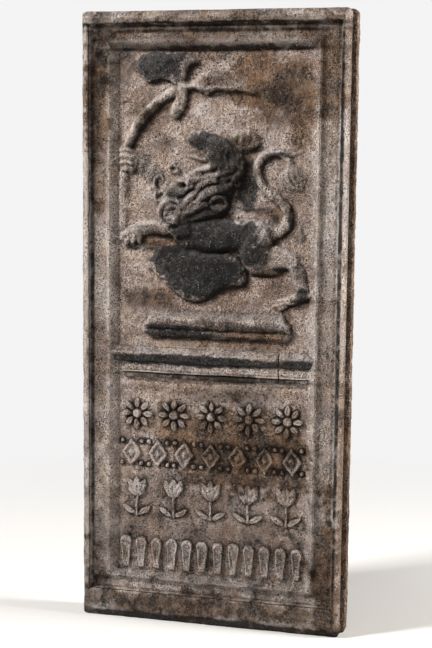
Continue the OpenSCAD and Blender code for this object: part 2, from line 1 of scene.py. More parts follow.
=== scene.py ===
"""An eighteenth-century cast-iron stove plate, kept today as a fireback.

Metres, with the carved face looking to -Y. The plate was cast in one pour from a carved wooden pattern,
and the pieces here are those of the pattern. Carving is given in millimetres on the face: x to the
right of the middle line and z over the floor.
"""

import math

import bpy
import numpy as np
from mathutils import Matrix, Vector


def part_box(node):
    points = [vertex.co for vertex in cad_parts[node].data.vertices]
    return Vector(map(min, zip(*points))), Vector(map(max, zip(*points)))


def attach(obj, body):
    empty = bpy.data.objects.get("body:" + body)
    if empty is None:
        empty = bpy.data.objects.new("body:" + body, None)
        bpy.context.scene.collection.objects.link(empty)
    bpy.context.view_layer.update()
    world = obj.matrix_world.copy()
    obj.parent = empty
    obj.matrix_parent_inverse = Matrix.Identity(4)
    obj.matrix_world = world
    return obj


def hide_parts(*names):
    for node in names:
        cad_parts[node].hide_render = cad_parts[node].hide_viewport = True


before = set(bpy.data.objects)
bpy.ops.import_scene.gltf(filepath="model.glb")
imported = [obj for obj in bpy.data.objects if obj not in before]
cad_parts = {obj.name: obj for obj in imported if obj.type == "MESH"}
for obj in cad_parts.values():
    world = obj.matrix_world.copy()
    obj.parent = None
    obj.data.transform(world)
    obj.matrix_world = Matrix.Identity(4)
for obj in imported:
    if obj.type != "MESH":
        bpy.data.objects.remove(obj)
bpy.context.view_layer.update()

# ---------------------------------------------------------------------------------------------------
# The view. The camera stands to the right of the plate and a little above its middle, 1.4 m away,
# where the photograph's edge lines put it. Its picture is upright, so the lens is for the long side.

look_at = Vector((0.00252, 0.0, 0.32592))
camera_distance = 1.42553
yaw, pitch, tilt = math.radians(14.775), math.radians(7.299), math.radians(0.539)
towards_camera = Vector((
    math.sin(yaw) * math.cos(pitch), -math.cos(yaw) * math.cos(pitch), math.sin(pitch)))
level = Vector((math.cos(yaw), math.sin(yaw), 0))
upright = towards_camera.cross(level)
camera_right = math.cos(tilt) * level + math.sin(tilt) * upright
camera_up = math.cos(tilt) * upright - math.sin(tilt) * level
camera = bpy.data.objects.new("camera", bpy.data.cameras.new("camera"))
camera.data.sensor_width = 36
camera.data.lens = 75
turn = Matrix((camera_right, camera_up, towards_camera)).transposed().to_4x4()
camera.matrix_world = Matrix.Translation(look_at + camera_distance * towards_camera) @ turn
bpy.context.scene.collection.objects.link(camera)
bpy.context.scene.camera = camera

# ---------------------------------------------------------------------------------------------------
# The iron. Weathered grey-pink casting skin with darker blue-grey patina, brown rust and pits. Every
# piece carries four values at each point: patina, rust, soot with painted shade, and painted shade with
# dust, which darkens where the form lies low or under another and paints a highlight where it stands proud.
# The scales of the noises and cells below are in features to the metre.

class Wire:
    """A value in a node tree, that ordinary arithmetic joins up with Math nodes."""

    def __init__(self, tree, socket):
        self.tree, self.socket = tree, socket

    def maths(self, operation, first, second):
        node = self.tree.nodes.new("ShaderNodeMath")
        node.operation = operation
        for slot, value in zip(node.inputs, (first, second)):
            if isinstance(value, Wire):
                self.tree.links.new(value.socket, slot)
            else:
                slot.default_value = value
        return Wire(self.tree, node.outputs[0])

    def __add__(self, other):
        return self.maths("ADD", self, other)

    def __sub__(self, other):
        return self.maths("SUBTRACT", self, other)

    def __rsub__(self, other):
        return self.maths("SUBTRACT", other, self)

    def __mul__(self, other):
        return self.maths("MULTIPLY", self, other)

    def held(self, low=0.0, high=1.0):
        return self.maths("MAXIMUM", self.maths("MINIMUM", self, high), low)


class Workbench:
    """A node tree, and the one way that this script adds a node to it."""

    def __init__(self, tree):
        self.tree = tree
        self.tree.nodes.clear()

    def node(self, kind, settings=None, output=0, **sockets):
        made = self.tree.nodes.new(kind)
        for key, value in (settings or {}).items():
            setattr(made, key, value)
        for key, value in sockets.items():
            numbered = key[0] == "i" and key[1:].isdigit()
            slot = made.inputs[int(key[1:])] if numbered else made.inputs[key.replace("_", " ")]
            if isinstance(value, Wire):
                self.tree.links.new(value.socket, slot)
            else:
                slot.default_value = value
        return Wire(self.tree, made.outputs[output]) if made.outputs else made

    def mixed(self, share, first, second, how="MIX"):
        return self.node("ShaderNodeMix", {"data_type": "RGBA", "blend_type": how}, 2, i0=share, i6=first,
                         i7=second)


def linear(red, green, blue):
    """A colour read off on the 0-255 scale, as the shader wants it."""
    return tuple((v / 255) ** 2.2 for v in (red, green, blue)) + (1.0,)


def cast_iron(name, low, mid, high, patina_tone, sheen):
    """Iron with three tones, from its dark pits up to its rubbed grains."""
    material = bpy.data.materials.new(name)
    material.use_nodes = True
    bench = Workbench(material.node_tree)
    place = bench.node("ShaderNodeTexCoord", output=3)

    def noise(scale, detail, gain=3.0, rough=0.6):
        value = bench.node("ShaderNodeTexNoise", Vector=place, Scale=scale, Detail=detail, Roughness=rough)
        return ((value - 0.5) * gain + 0.5).held()

    def carried(what):
        return bench.node("ShaderNodeAttribute", {"attribute_name": what}, 2)

    patina, rust, soot_and_shade, hollow = carried("patina"), carried("rust"), carried("soot_and_shade"), carried("hollow")
    broad, middle = noise(20, 3), noise(75, 4, 3.2, 0.7)
    small, fine = noise(240, 3, 3.2), noise(950, 2, 3.8)
    grains = bench.node("ShaderNodeTexVoronoi", Vector=place, Scale=430.0)
    pits = bench.node("ShaderNodeTexVoronoi", Vector=place, Scale=330.0)
    pore = ((0.36 - pits) * 9.0).held() * ((middle + small * 0.6 - 0.62) * 3.0).held()
    speck = ((0.3 - grains) * 9.0).held() * ((small * 0.7 + fine * 0.5 - 0.66) * 4.0).held()
    grit = (fine - 0.5) * ((middle * 1.6 - 0.35).held() * 0.7 + 0.5)

    # Painted shade darkens the tone where the form lies low or under another, and a painted highlight
    # lightens it on proud tops.
    tone = (broad * 0.4 + middle * 0.5 + small * 0.2 + grit * 0.9 - hollow * 0.6 - 0.05).held()
    colour = bench.mixed((tone * 2).held(), linear(*low), linear(*mid))
    colour = bench.mixed((tone * 2 - 1).held(), colour, linear(*high))
    warmth = bench.mixed(noise(42, 2, 3.6), (1.0, 0.94, 0.88, 1), (0.98, 0.975, 1.0, 1))
    colour = bench.mixed(1.0, colour, warmth, "MULTIPLY")
    stain = ((rust * 1.3 + middle * 0.6 + small * 0.25 - 0.66) * 1.7).held()
    brown = bench.mixed((noise(58, 3, 3.6) * 0.7 + small * 0.35 + grit * 0.8 - 0.08).held(),
                        linear(28, 21, 16), linear(152, 120, 94))
    colour = bench.mixed(stain * 0.85, colour, brown)
    dark = ((patina * 1.5 + middle * 0.5 + small * 0.3 + broad * 0.2 - 0.86) * 1.6).held()
    # The patina takes the same painted shade, twice as strong.
    slate = bench.mixed((broad * 0.5 + middle * 0.5 + small * 0.4 + grit * 0.9 - hollow * 1.2
                          - (patina - 1).held() * 0.4 - 0.5).held(),
                        linear(14, 13, 12), linear(*patina_tone))
    colour = bench.mixed(dark * 0.96, colour, slate)
    # Painted shade, with some dust, in dark brown where the form lies low or under another.
    shade_and_dust_mix = ((hollow * 1.5 + middle * 0.5 - 0.5) * 1.5).held()
    colour = bench.mixed(shade_and_dust_mix * 0.85, colour, linear(26, 19, 14))
    # Soot, and painted shade and shadow, in near black.
    colour = bench.mixed((soot_and_shade + (middle - 0.4) * 1.2 * soot_and_shade + grit * soot_and_shade * 0.6).held(0, 0.94), colour,
                         linear(26, 21, 18))
    salt = speck * (1 - shade_and_dust_mix) * (1 - soot_and_shade * 0.7) * 0.5
    colour = bench.mixed(salt, colour, linear(226, 218, 211))
    colour = bench.mixed(pore * 0.75, colour, linear(28, 22, 18))

    roughness = (0.72 - dark * sheen + stain * 0.14 + fine * 0.12).held(0.3, 0.95)
    bump = bench.node("ShaderNodeBump", Strength=1.0, Distance=0.0021,
                      Height=fine * 0.36 + small * 0.9 + middle * 1.1 - pore * 0.7 + speck * 0.25)
    surface = bench.node("ShaderNodeBsdfPrincipled", Base_Color=colour, Roughness=roughness, Normal=bump,
                         Metallic=0.0, Specular_IOR_Level=0.18)
    bench.node("ShaderNodeOutputMaterial", Surface=surface)
    return material


irons = {name: cast_iron(name, *tones) for name, tones in {
    "iron_board": ((68, 54, 47), (162, 143, 131), (224, 211, 202), (80, 79, 78), 0.2),
    # The frame's iron is paler than the board's, and lightened further to make up for the shade that the
    # raking key throws in the mouldings.
    "iron_frame": ((68, 57, 51), (172, 159, 150), (230, 221, 214), (80, 79, 78), 0.2),
    "iron_relief": ((68, 57, 50), (158, 145, 136), (226, 217, 210), (80, 79, 78), 0.24),
    "iron_patina": ((52, 43, 38), (132, 120, 113), (214, 204, 197), (78, 77, 77), 0.26),
    "iron_rust": ((46, 36, 29), (120, 100, 84), (204, 190, 178), (76, 68, 62), 0.1),
}.items()}

# ---------------------------------------------------------------------------------------------------
# The board. One slab ten millimetres thick, cast face up in sand: its face is gently lumpy and pitted,
# and its back is rougher. The carving is heaped on one grid, half a millimetre between its points, so
# that every carved piece melts into the board and into the next piece, as in one casting.

plate_half, plate_height, rail_half = 142, 650, 146
grain = 0.5
x_line = np.arange(-103.5, 104, grain)
z_line = np.arange(51, 614, grain)
height = np.zeros((len(z_line), len(x_line)))
owner = np.zeros(height.shape, int)
owners = ["board"]
board_low, board_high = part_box("back_plate")
face_y, board_back_y = board_low[1] * 1000, board_high[1] * 1000


def lumps(x, z, size, seed):
    """Smooth random unevenness from -1 to 1, the same at the same place on every piece."""
    table = np.random.default_rng(seed).uniform(-1, 1, (128, 128))
    u, v = np.asarray(x) / size + 40.5 + seed, np.asarray(z) / size + 17.5
    i, j = np.floor(u).astype(int), np.floor(v).astype(int)
    a, b = u - i, v - j
    a, b = a * a * (3 - 2 * a), b * b * (3 - 2 * b)
    i0, i1, j0, j1 = i % 128, (i + 1) % 128, j % 128, (j + 1) % 128
    low = table[j0, i0] * (1 - a) + table[j0, i1] * a
    high = table[j1, i0] * (1 - a) + table[j1, i1] * a
    return low * (1 - b) + high * b


def casting_skin(x, z, rough=1.0):
    """How far sand-cast iron stands off its true surface, in millimetres. The lower field is scaly, and
    that fades out upwards from 250 mm over the floor."""
    broad = 0.3 * lumps(x, z, 23, 1) + 0.26 * lumps(x, z, 9.5, 2) + 0.28 * lumps(x, z, 4.6, 3)
    fine = 0.24 * lumps(x, z, 2.6, 4) + 0.12 * lumps(x, z, 1.4, 8)
    pits = np.clip(lumps(x, z, 3.4, 5) * lumps(x + 3.1, z, 2.6, 6) - 0.28, 0, 1) * -2.2
    blisters = np.clip(lumps(x, z + 5, 2.8, 7) * lumps(x + 1.7, z, 3.3, 9) - 0.36, 0, 1) * 1.6
    scale = 1 - np.abs(lumps(x, z, 11, 14) + 0.5 * lumps(x, z, 5, 15)) * 2.2
    scale = np.clip(scale * np.clip((250 - z) / 60, 0.12, 1), -0.6, 1)
    return rough * (broad + fine + pits + blisters + 0.6 * scale)


# Stains on the iron, whichever piece they cross: middle x, middle z, half width, half height, strength.
# Patina lies only on what stands proud, and a film of it lies on everything. Soot fills the corners, and
# painted shade and shadow lie with it under forms. Painted highlights lie on lit edges, and in rubbed
# patches the dirt is out of the hollows; both take painted shade and dust away.
stains_and_painted_light = {
    "patina": [
        (-60, 594, 26, 17, 1.0), (-28, 596, 12, 10, 0.3), (-6, 515, 25, 12, 0.66), (14, 500, 20, 15, 0.55),
        (22, 470, 12, 26, 0.6), (-2, 468, 26, 20, 0.42), (-36, 464, 14, 9, 0.5), (-36, 448, 22, 10, 0.36),
        (-6, 446, 24, 10, 0.5), (-6, 419, 30, 20, 1.5), (32, 412, 24, 22, 0.9), (50, 400, 14, 20, 0.64),
        (-26, 389, 36, 18, 1.6), (10, 383, 22, 19, 1.5), (-10, 368, 24, 14, 1.2),
        (-20, 286.5, 94, 6.2, 1.1), (92, 286.5, 24, 6.2, 0.78), (-40, 322, 42, 3.2, 0.66),
        (-36, 314, 40, 4.5, 0.95), (40, 322, 34, 4.5, 0.5), (-66, 425, 34, 5, 0.4), (96, 362, 6, 6, 0.8),
        (92, 384, 7, 10, 0.45)
    ],
    "film": [
        (-62, 596, 28, 14, 0.5), (38, 474, 9, 30, 0.66), (-77, 494, 11, 13, 0.46), (-64, 480, 12, 9, 0.36),
        (94, 420, 7, 7, 0.5), (22, 182, 46, 10, 0.4), (0, 110, 120, 70, 0.32)
    ],
    "rust": [
        (60, 574, 34, 32, 0.95), (10, 580, 26, 8, 0.5), (92, 560, 14, 50, 0.75), (36, 304, 46, 5, 0.6),
        (36, 190, 58, 40, 1.1), (-30, 214, 46, 22, 0.7), (30, 166, 40, 16, 0.9), (-125, 560, 14, 80, 0.75),
        (-124, 470, 12, 34, 0.5), (-124, 280, 14, 50, 0.42), (0, 634, 150, 14, 0.55), (0, 606, 60, 8, 0.4),
        (0, 256, 100, 8, 0.4), (124, 590, 16, 60, 0.62), (129, 60, 14, 80, 0.85), (126, 300, 12, 100, 0.36),
        (-22, 437, 14, 5, 0.6), (-42, 410, 34, 4, 0.8), (10, 398, 30, 3, 0.5), (34, 516, 18, 9, 0.6),
        (64, 382, 20, 5, 0.45), (6, 436, 24, 6, 0.5), (-70, 352, 34, 12, 0.55), (60, 444, 18, 6, 0.55),
        (-126, 40, 16, 40, 0.5), (92, 470, 12, 60, 0.34), (14, 392, 50, 3, 0.4), (56, 100, 44, 30, 0.2),
        (144, 160, 8, 120, 0.6), (0, 22, 150, 12, 0.6), (-20, 305, 40, 5, 0.5), (-70, 540, 14, 16, 0.5),
        (50, 316, 36, 6, 0.6)
    ],
    # Soot, and painted shade and shadow: the floor's shadow along the foot, shadow under the ground bar, the
    # stick and the bead, shade in the sunk lines and under the top crest, and down the lower right sides of
    # the shaft, tail, haunch and foot. The lower field is darker towards the bottom.
    "soot_and_shade": [
        (0, 0, 170, 8, 1.0), (0, 4, 170, 5, 1.0), (0, 20, 160, 16, 0.36), (-128, 22, 24, 30, 0.4),
        (0, 46, 110, 4, 0.3), (0, 621, 112, 5, 0.25), (0, 337, 76, 4, 0.26), (-121, 612, 13, 44, 0.62),
        (-127, 540, 6, 50, 0.4), (-96, 600, 8, 24, 0.45), (0, 633, 150, 8, 0.25), (0, 636, 166, 2.6, 0.85),
        (0, 611, 128, 2.6, 0.9), (0, 614, 122, 2.6, 0.5), (70, 560, 22, 26, 0.3), (30, 190, 44, 22, 0.28),
        (86, 182, 14, 26, 0.45), (40, 246, 24, 14, 0.45), (-40, 232, 20, 12, 0.35), (-20, 100, 90, 30, 0.2),
        (10, 74, 120, 34, 0.3), (135.4, 330, 2.4, 330, 0.95), (-131.4, 330, 2.2, 330, 0.6),
        (118, 80, 22, 80, 0.2), (-118, 60, 22, 70, 0.24), (-70, 350, 26, 10, 0.3), (4, 250, 40, 7, 0.3),
        (0, 629.3, 152, 2.0, 0.8), (4, 269.2, 104, 3.2, 0.8), (26, 269.2, 30, 4.2, 1.0),
        (0, 284.5, 110, 2, 0.5), (-50, 516, 9, 5, 0.35), (52, 446, 14, 3, 0.5), (66, 438, 5, 5, 0.6),
        (0, 312, 80, 2.6, 0.5), (16, 512, 12, 5, 0.3), (-70, 542, 5, 5, 0.5), (-80, 531, 5, 6, 0.5),
        (-60, 552, 5, 4, 0.5), (-88, 516, 4, 7, 0.4), (20, 474, 12, 26, 0.55), (20, 500, 14, 14, 0.5),
        (4, 446, 16, 8, 0.5), (56, 379.5, 14, 2.2, 0.8), (83.5, 440, 2.4, 13, 0.6), (76, 455, 4, 4, 0.4),
        (73, 386, 9, 2.6, 0.7), (98, 354.5, 12, 2.6, 0.8), (70, 503, 12, 3, 0.6), (-33, 472, 5, 3, 0.9),
        (-50, 404, 20, 3, 0.6), (-27, 424, 8, 12, 0.5), (40, 508, 12, 2.5, 0.5), (0, 110, 110, 70, 0.2),
        (-86, 404, 10, 2.5, 0.5), (-20, 567, 10, 2, 0.4), (30, 565.5, 22, 2, 0.4), (-39, 543, 4, 8, 0.4),
        (-25, 590, 6, 8, 0.35), (0, 563, 14, 1.6, 0.5)
    ],
    # Painted highlights on lit edges and rims: the tail's left rim, the upper lip, the ridge of the back,
    # the crests, the stick's top and the top rim. The rest are rubbed, paler patches.
    "highlight_and_rubbed": [
        (0, 548, 30, 9, 0.8), (2, 530, 20, 6, 0.7), (-112, 400, 3, 130, 0.7), (112, 400, 3, 130, 0.3),
        (-124, 150, 12, 50, 0.5), (0, 298, 112, 2.6, 0.7), (40, 303, 30, 4, 0.4), (80, 396, 12, 8, 0.6),
        (32, 435.5, 15, 1.8, 0.8), (-84, 456, 16, 34, 0.3), (-136, 300, 2, 300, 0.3),
        (0, 276, 100, 1.2, 0.4), (0, 259.5, 104, 3, 1.0), (10, 303.5, 62, 3.6, 1.0), (92, 480, 12, 40, 0.4),
        (0, 644, 140, 2.4, 0.8), (0, 632.6, 150, 1.0, 1.0), (0, 237, 96, 18, 0.5),
        (43.5, 488, 1.5, 12, 0.8), (-14, 506, 4, 2.2, 0.8), (-7, 499, 3, 3.5, 0.8),
        (-3.5, 490, 1.8, 6, 0.7), (60, 520, 30, 16, 0.3), (92, 214, 14, 16, 0.3)
    ],
}


def stain_and_light_strength(kind, x, z):
    """How strongly each point takes one kind of mark, stain and painted light alike. Its edge wanders, and
    less on a narrow mark.
    """
    wander = 0.34 * lumps(x, z, 15, 11) + 0.28 * lumps(x, z, 6, 12) + 0.18 * lumps(x, z, 2.6, 13)
    total = np.zeros(np.shape(x))
    for middle_x, middle_z, half_x, half_z, strength in stains_and_painted_light[kind]:
        away = np.hypot((x - middle_x) / half_x, (z - middle_z) / half_z)
        away = away + wander * np.clip(min(half_x, half_z) / 16, 0.22, 1)
        total = np.maximum(total, strength * np.clip((1.4 - away) / 0.7, 0, 1))
    return total


def along(points, steps=6, closed=False):
    """Points carried on a smooth curve, with whatever sizes they hold."""
    p = np.array(points, float)
    ends = (p[-1:], p[:2]) if closed else (2 * p[:1] - p[1:2], 2 * p[-1:] - p[-2:-1])
    p = np.vstack([ends[0], p, ends[1]])
    curve = []
    for a, b, c, d in zip(p[:-3], p[1:-2], p[2:-1], p[3:]):
        for t in np.arange(steps) / steps:
            curve.append(0.5 * (2 * b + (c - a) * t + (2 * a - 5 * b + 4 * c - d) * t * t
                                + (3 * b - a - 3 * c + d) * t ** 3))
    return np.array(curve if closed else curve + [p[-2]])


def patch(low_x, high_x, low_z, high_z):
    """The part of the grid inside a box, and its points."""
    cols = slice(*np.searchsorted(x_line, (low_x, high_x)))
    rows = slice(*np.searchsorted(z_line, (low_z, high_z)))
    return (rows, cols), *np.meshgrid(x_line[cols], z_line[rows])


def from_segment(x, z, a, b):
    """How far along the line from a to b each point lies, as a share, and how far from it."""
    d = b[:2] - a[:2]
    s = np.clip(((x - a[0]) * d[0] + (z - a[1]) * d[1]) / (d @ d + 1e-9), 0, 1)
    return s, np.hypot(x - a[0] - s * d[0], z - a[1] - s * d[1])


def stroke(line, reach=3.0):
    """How far each point near a line lies from it, in half widths and in millimetres past its edge,
    with the line's height beside it. The line is [x, z, half width, height]."""
    p = along(line)
    pad = p[:, 2].max() + reach
    area, x, z = patch(p[:, 0].min() - pad, p[:, 0].max() + pad, p[:, 1].min() - pad, p[:, 1].max() + pad)
    share, past, rise = (np.full(x.shape, v) for v in (9.0, 99.0, 0.0))
    for a, b in zip(p[:-1], p[1:]):
        s, away = from_segment(x, z, a, b)
        width = a[2] + s * (b[2] - a[2])
        closer = away / width < share
        share[closer] = (away / width)[closer]
        past[closer] = (away - width)[closer]
        rise[closer] = (a[3] + s * (b[3] - a[3]))[closer]
    return area, share, past, rise


def heap(name, area, surface, inside, past, moat=1.2):
    """Lay one carved form on what is there, with a shallow trench round it in what lies behind."""
    if name not in owners:
        owners.append(name)
    here = height[area]
    here -= moat * np.exp(-(np.maximum(past, 0) / 1.1) ** 2) * np.clip(here / 2, 0, 1)
    taken = inside & (surface > here)
    here[taken] = surface[taken]
    owner[area][taken] = owners.index(name)


def limb(name, *lines, full=2.6, moat=1.2):
    """Limbs of round section on one piece, which a higher full makes fatter."""
    for line in lines:
        area, share, past, rise = stroke(line)
        heap(name, area, rise * np.sqrt(1 - np.clip(share, 0, 1) ** full), share < 1, past, moat)


def mass(name, outline, rise, shoulder, swell=(), moat=1.2):
    """A broad form over a closed outline, with round shoulders and swellings [x, z, radius, height]."""
    p = along(outline, 5, closed=True)
    area, x, z = patch(p[:, 0].min() - 3, p[:, 0].max() + 3, p[:, 1].min() - 3, p[:, 1].max() + 3)
    away, within = np.full(x.shape, 99.0), np.zeros(x.shape, bool)
    for a, b in zip(p, np.roll(p, -1, 0)):
        away = np.minimum(away, from_segment(x, z, a, b)[1])
        if a[1] != b[1]:
            within ^= ((a[1] > z) != (b[1] > z)) & (x < (b[0] - a[0]) * (z - a[1]) / (b[1] - a[1]) + a[0])
    top = np.full(x.shape, float(rise))
    for swell_x, swell_z, radius, more in swell:
        top += more * np.exp(-((x - swell_x) ** 2 + (z - swell_z) ** 2) / radius ** 2)
    surface = top * np.sqrt(1 - (1 - np.clip(away / shoulder, 0, 1)) ** 2.4)
    heap(name, area, surface, within, np.where(within, 0, away), moat)


def ridge(name, *rows):
    """Soft ridges on one piece as [line, how tall, how wide], or grooves where tall is less than nothing."""
    for line, tall, wide in rows:
        area, share, past, rise = stroke([(*p, wide, 1.0) for p in line], 2 * wide)
        height[area] += tall * rise * np.exp(-(share * 1.2) ** 2) * (owner[area] == owners.index(name))


def roll(x, z, radius, turns, start, wide, tall, shrink, flip):
    """The line of a curl that winds inwards, as points [x, z, half width, height]. Its radius shrinks to
    a share of what it was, and a flip of -1 winds it clockwise."""
    angle = np.linspace(0, turns * 2 * np.pi, max(8, int(turns * 12)))
    r = radius * (1 - (1 - shrink) * angle / angle[-1])
    a = math.radians(start) + flip * angle
    return [(x + q * math.cos(b), z + q * math.sin(b), wide * (0.6 + 0.4 * q / radius), tall)
            for q, b in zip(r, a)]


# ---------------------------------------------------------------------------------------------------
# The lion's far side. The far hind leg and flank are one low flat form under a dark crust, and its lower
# left edge is bevelled. Like all the carving it is laid down from the back of the scene to the front.

mass("lion_far_hind_leg",
    [(-67, 394), (-62, 403), (-52, 408.5), (-38, 409), (-20, 404), (0, 402), (24, 400), (33, 392),
     (38, 379), (34, 369), (20, 366), (8, 361), (-5, 353), (-16, 349), (-28, 351), (-38, 357), (-48, 365),
     (-58, 373), (-69, 382), (-73, 387)], 6.0, 6.5, [(-10, 385, 34, 1.0), (26, 380, 12, 0.8)])
ridge("lion_far_hind_leg",
    ([(-60, 384), (-50, 376), (-38, 366), (-26, 358)], 0.5, 2.5),
    ([(-30, 392), (-20, 380), (-4, 372), (12, 372)], -0.35, 3.0))

# ---------------------------------------------------------------------------------------------------
# The halberd. A plain shaft, bent over its whole upper half, with an axe blade, a leaf-shaped fluke on the
# other side and a langet down the shaft. It is carved proud, and its lower end is worn almost flat.

limb("halberd_shaft",
    [(-98.5, 426, 4.6, 2.2), (-98.5, 445, 4.8, 2.6), (-98, 470, 5, 3.2), (-97, 492, 5, 4.6),
     (-94, 508, 5.2, 5.6), (-88.5, 522, 5.4, 6.2), (-81, 535, 5.5, 6.4), (-72, 546, 5.5, 6.4),
     (-61, 556, 5.5, 6.2), (-49, 564, 5.5, 6.0), (-38, 569, 5.5, 5.5)], full=2.3)
ridge("halberd_shaft", ([(-91, 517), (-84, 531), (-75, 543), (-64, 554), (-52, 562)], 0.5, 1.6))
mass("halberd_blade",
    [(-80, 604), (-70, 607.5), (-58, 608), (-46, 606), (-38, 607.5), (-28, 606), (-19, 601), (-15.5, 597.5),
     (-21, 596), (-26, 591.5), (-28.5, 585), (-30, 577), (-34, 572), (-42, 574), (-50, 579.5), (-60, 579.5),
     (-68, 577), (-76, 581), (-82, 592)], 5.0, 2.2, [(-56, 594, 18, 0.6)])
ridge("halberd_blade",
    ([(-42, 603), (-35, 605.2), (-27, 603.8), (-20, 600.5)], 1.3, 1.3),
    ([(-38, 598), (-30, 597), (-25, 592)], -0.8, 2.4),
    ([(-66, 590), (-58, 594), (-50, 599), (-45, 603)], 0.6, 1.5),
    ([(-45, 603), (-41, 594), (-38, 584), (-36, 576)], -0.7, 1.4),
    ([(-78, 590), (-70, 584), (-60, 584), (-50, 585), (-42, 581)], 0.5, 1.6))
mass("halberd_fluke",
    [(-33, 578), (-26, 576.5), (-20, 580.5), (-14, 586.5), (-8, 588.5), (0, 587), (8, 585), (18, 581.5),
     (31, 575), (39, 570.5), (45, 566), (42, 564.5), (31, 567), (12, 568.5), (0, 567), (-8, 563.5),
     (-13, 567), (-20, 570), (-29, 569), (-34, 571)], 3.6, 3.2, [(-10, 575, 9, 1.6)])
ridge("halberd_fluke",
    ([(-30, 573.5), (-18, 574), (-8, 571), (4, 572), (20, 571.5), (32, 569.5), (43, 566.2)], 3.0, 2.5),
    ([(-14, 585), (0, 585), (14, 581), (28, 575)], 0.8, 1.2))
limb("halberd_langet",
    [(-33, 572, 6.4, 5.6), (-34, 563, 6.4, 5.8), (-36.5, 554, 6.6, 5.6), (-41, 546, 5.6, 4.8)], full=3.2)
ridge("halberd_langet", ([(-36, 570), (-37, 558), (-42, 548)], 0.6, 1.8))

# ---------------------------------------------------------------------------------------------------
# The lion's tail. A long S from the haunch up and over, with a low tuft of four curls at its end.

limb("lion_tail",
    [(50, 426, 6.5, 5.0), (60, 423.5, 6.3, 5.6), (69, 424.5, 6, 6), (76, 429, 6, 6), (80, 437, 5.6, 6),
     (79.5, 446, 5.2, 5.8), (74, 454, 5, 5.6), (66, 461, 4.8, 5.4), (58, 467, 4.6, 5.4),
     (51, 475, 4.6, 5.6), (47.5, 485, 4.6, 5.8), (48.5, 495, 4.7, 5.8), (54, 502.5, 4.8, 5.8),
     (62, 506.5, 4.6, 5.6), (70, 506, 4.3, 5.2), (77, 502, 4, 4.8), (81, 496, 3.6, 4.2), (82, 489, 3, 3.6)],
    full=2.2)
mass("lion_tail_tuft",
    [(78, 492), (84, 496), (91, 491), (95, 483), (98, 476), (94, 467.5), (86, 467.5), (79, 473),
     (76.5, 483)], 2.2, 4.5, moat=0.2)
limb("lion_tail_tuft",
    [(80.5, 493, 2.4, 4.0), (78.6, 486, 2.7, 4.2), (79.2, 478.5, 2.7, 4.2), (83.5, 472.5, 2.4, 3.9),
     (89, 469.2, 2.0, 3.2), (94.5, 468.5, 1.4, 2.2)],
    [(84.5, 492, 2.2, 3.8), (83.4, 485, 2.5, 4.2), (85, 478.5, 2.4, 4.0), (89.5, 474, 2.0, 3.2),
     (95, 473.5, 1.4, 2.2)],
    [(88.5, 490.5, 2.0, 3.4), (88.4, 484.5, 2.3, 3.8), (91.2, 479.5, 2.0, 3.2), (96.5, 479, 1.4, 2.2)],
    [(82, 503.5, 1.8, 2.6), (88, 506, 1.6, 2.2), (94, 506.5, 1.2, 1.6)], full=2.0, moat=1.2)

# ---------------------------------------------------------------------------------------------------
# The lion's body. The trunk runs straight from the mane to the haunch. The near hind leg is thrown back,
# and its long foot comes down on the ground line with three toes.

limb("lion_body",
    [(-34, 418, 10, 5.5), (-20, 420, 15, 7.5), (-4, 420.5, 18, 8.6), (14, 420.5, 17.5, 9.0),
     (30, 420, 16.5, 8.6), (46, 420, 16, 7.6), (56, 421, 13, 6.6)], full=3.0)
ridge("lion_body",
    ([(18, 435), (26, 433.4), (36, 432), (46, 433), (56, 433)], 1.2, 1.6),
    ([(-30, 411), (-14, 407), (0, 404.5), (12, 405), (26, 408)], -0.9, 1.8),
    ([(14, 428), (20, 418), (20, 409)], -0.5, 2.2))
mass("lion_haunch",
    [(28, 404), (31, 418), (38, 430), (50, 435), (60, 431), (65.5, 420), (66, 406), (69, 394), (62, 382),
     (51, 379.5), (41, 382), (33, 391)], 8.0, 11, [(48, 410, 16, 2.4)])
ridge("lion_haunch",
    ([(31, 400), (34, 414), (42, 425)], -0.7, 1.8), ([(44, 392), (52, 398), (60, 408)], -0.5, 3.0))
limb("lion_near_hind_leg",
    [(60, 395.5, 17, 8.0), (70, 397.5, 13.5, 7.4), (80, 396.5, 9.5, 6.2), (88, 390, 8.4, 5.2),
     (92, 380, 7.4, 4.6), (94, 370, 6.6, 4.6), (97, 362, 6.0, 5.0)], full=2.4, moat=0.7)
ridge("lion_near_hind_leg",
    ([(66, 402), (78, 398), (86, 390), (90, 380)], 0.7, 2.4),
    ([(62, 388), (72, 387), (80, 385)], -0.5, 2.0))
limb("lion_near_hind_foot",
    [(104.5, 360, 2.8, 4.0), (99, 359.5, 4.8, 5.8), (92, 357.5, 5.6, 6.2), (84, 354.5, 5.6, 5.8),
     (76, 351.5, 5.2, 5.2), (69.5, 349, 3.8, 4.0)], full=2.4, moat=1.6)
limb("lion_near_hind_foot",
    [(79, 355, 2.6, 5.2), (73, 353.6, 2.8, 4.6), (68.5, 352, 2.2, 3.2)],
    [(77, 350.5, 2.8, 5.4), (70.5, 348.6, 2.8, 4.6), (65.5, 347, 2.0, 2.8)],
    [(79, 347.6, 2.4, 4.6), (73.5, 345.6, 2.4, 3.8), (70, 344.6, 1.8, 2.6)], full=2.2, moat=0.9)

# ---------------------------------------------------------------------------------------------------
# The lion's forelegs. The upper one reaches up and grips the shaft with four toes. The lower one lies level
# across the belly, and its paw hangs over with the claws out.

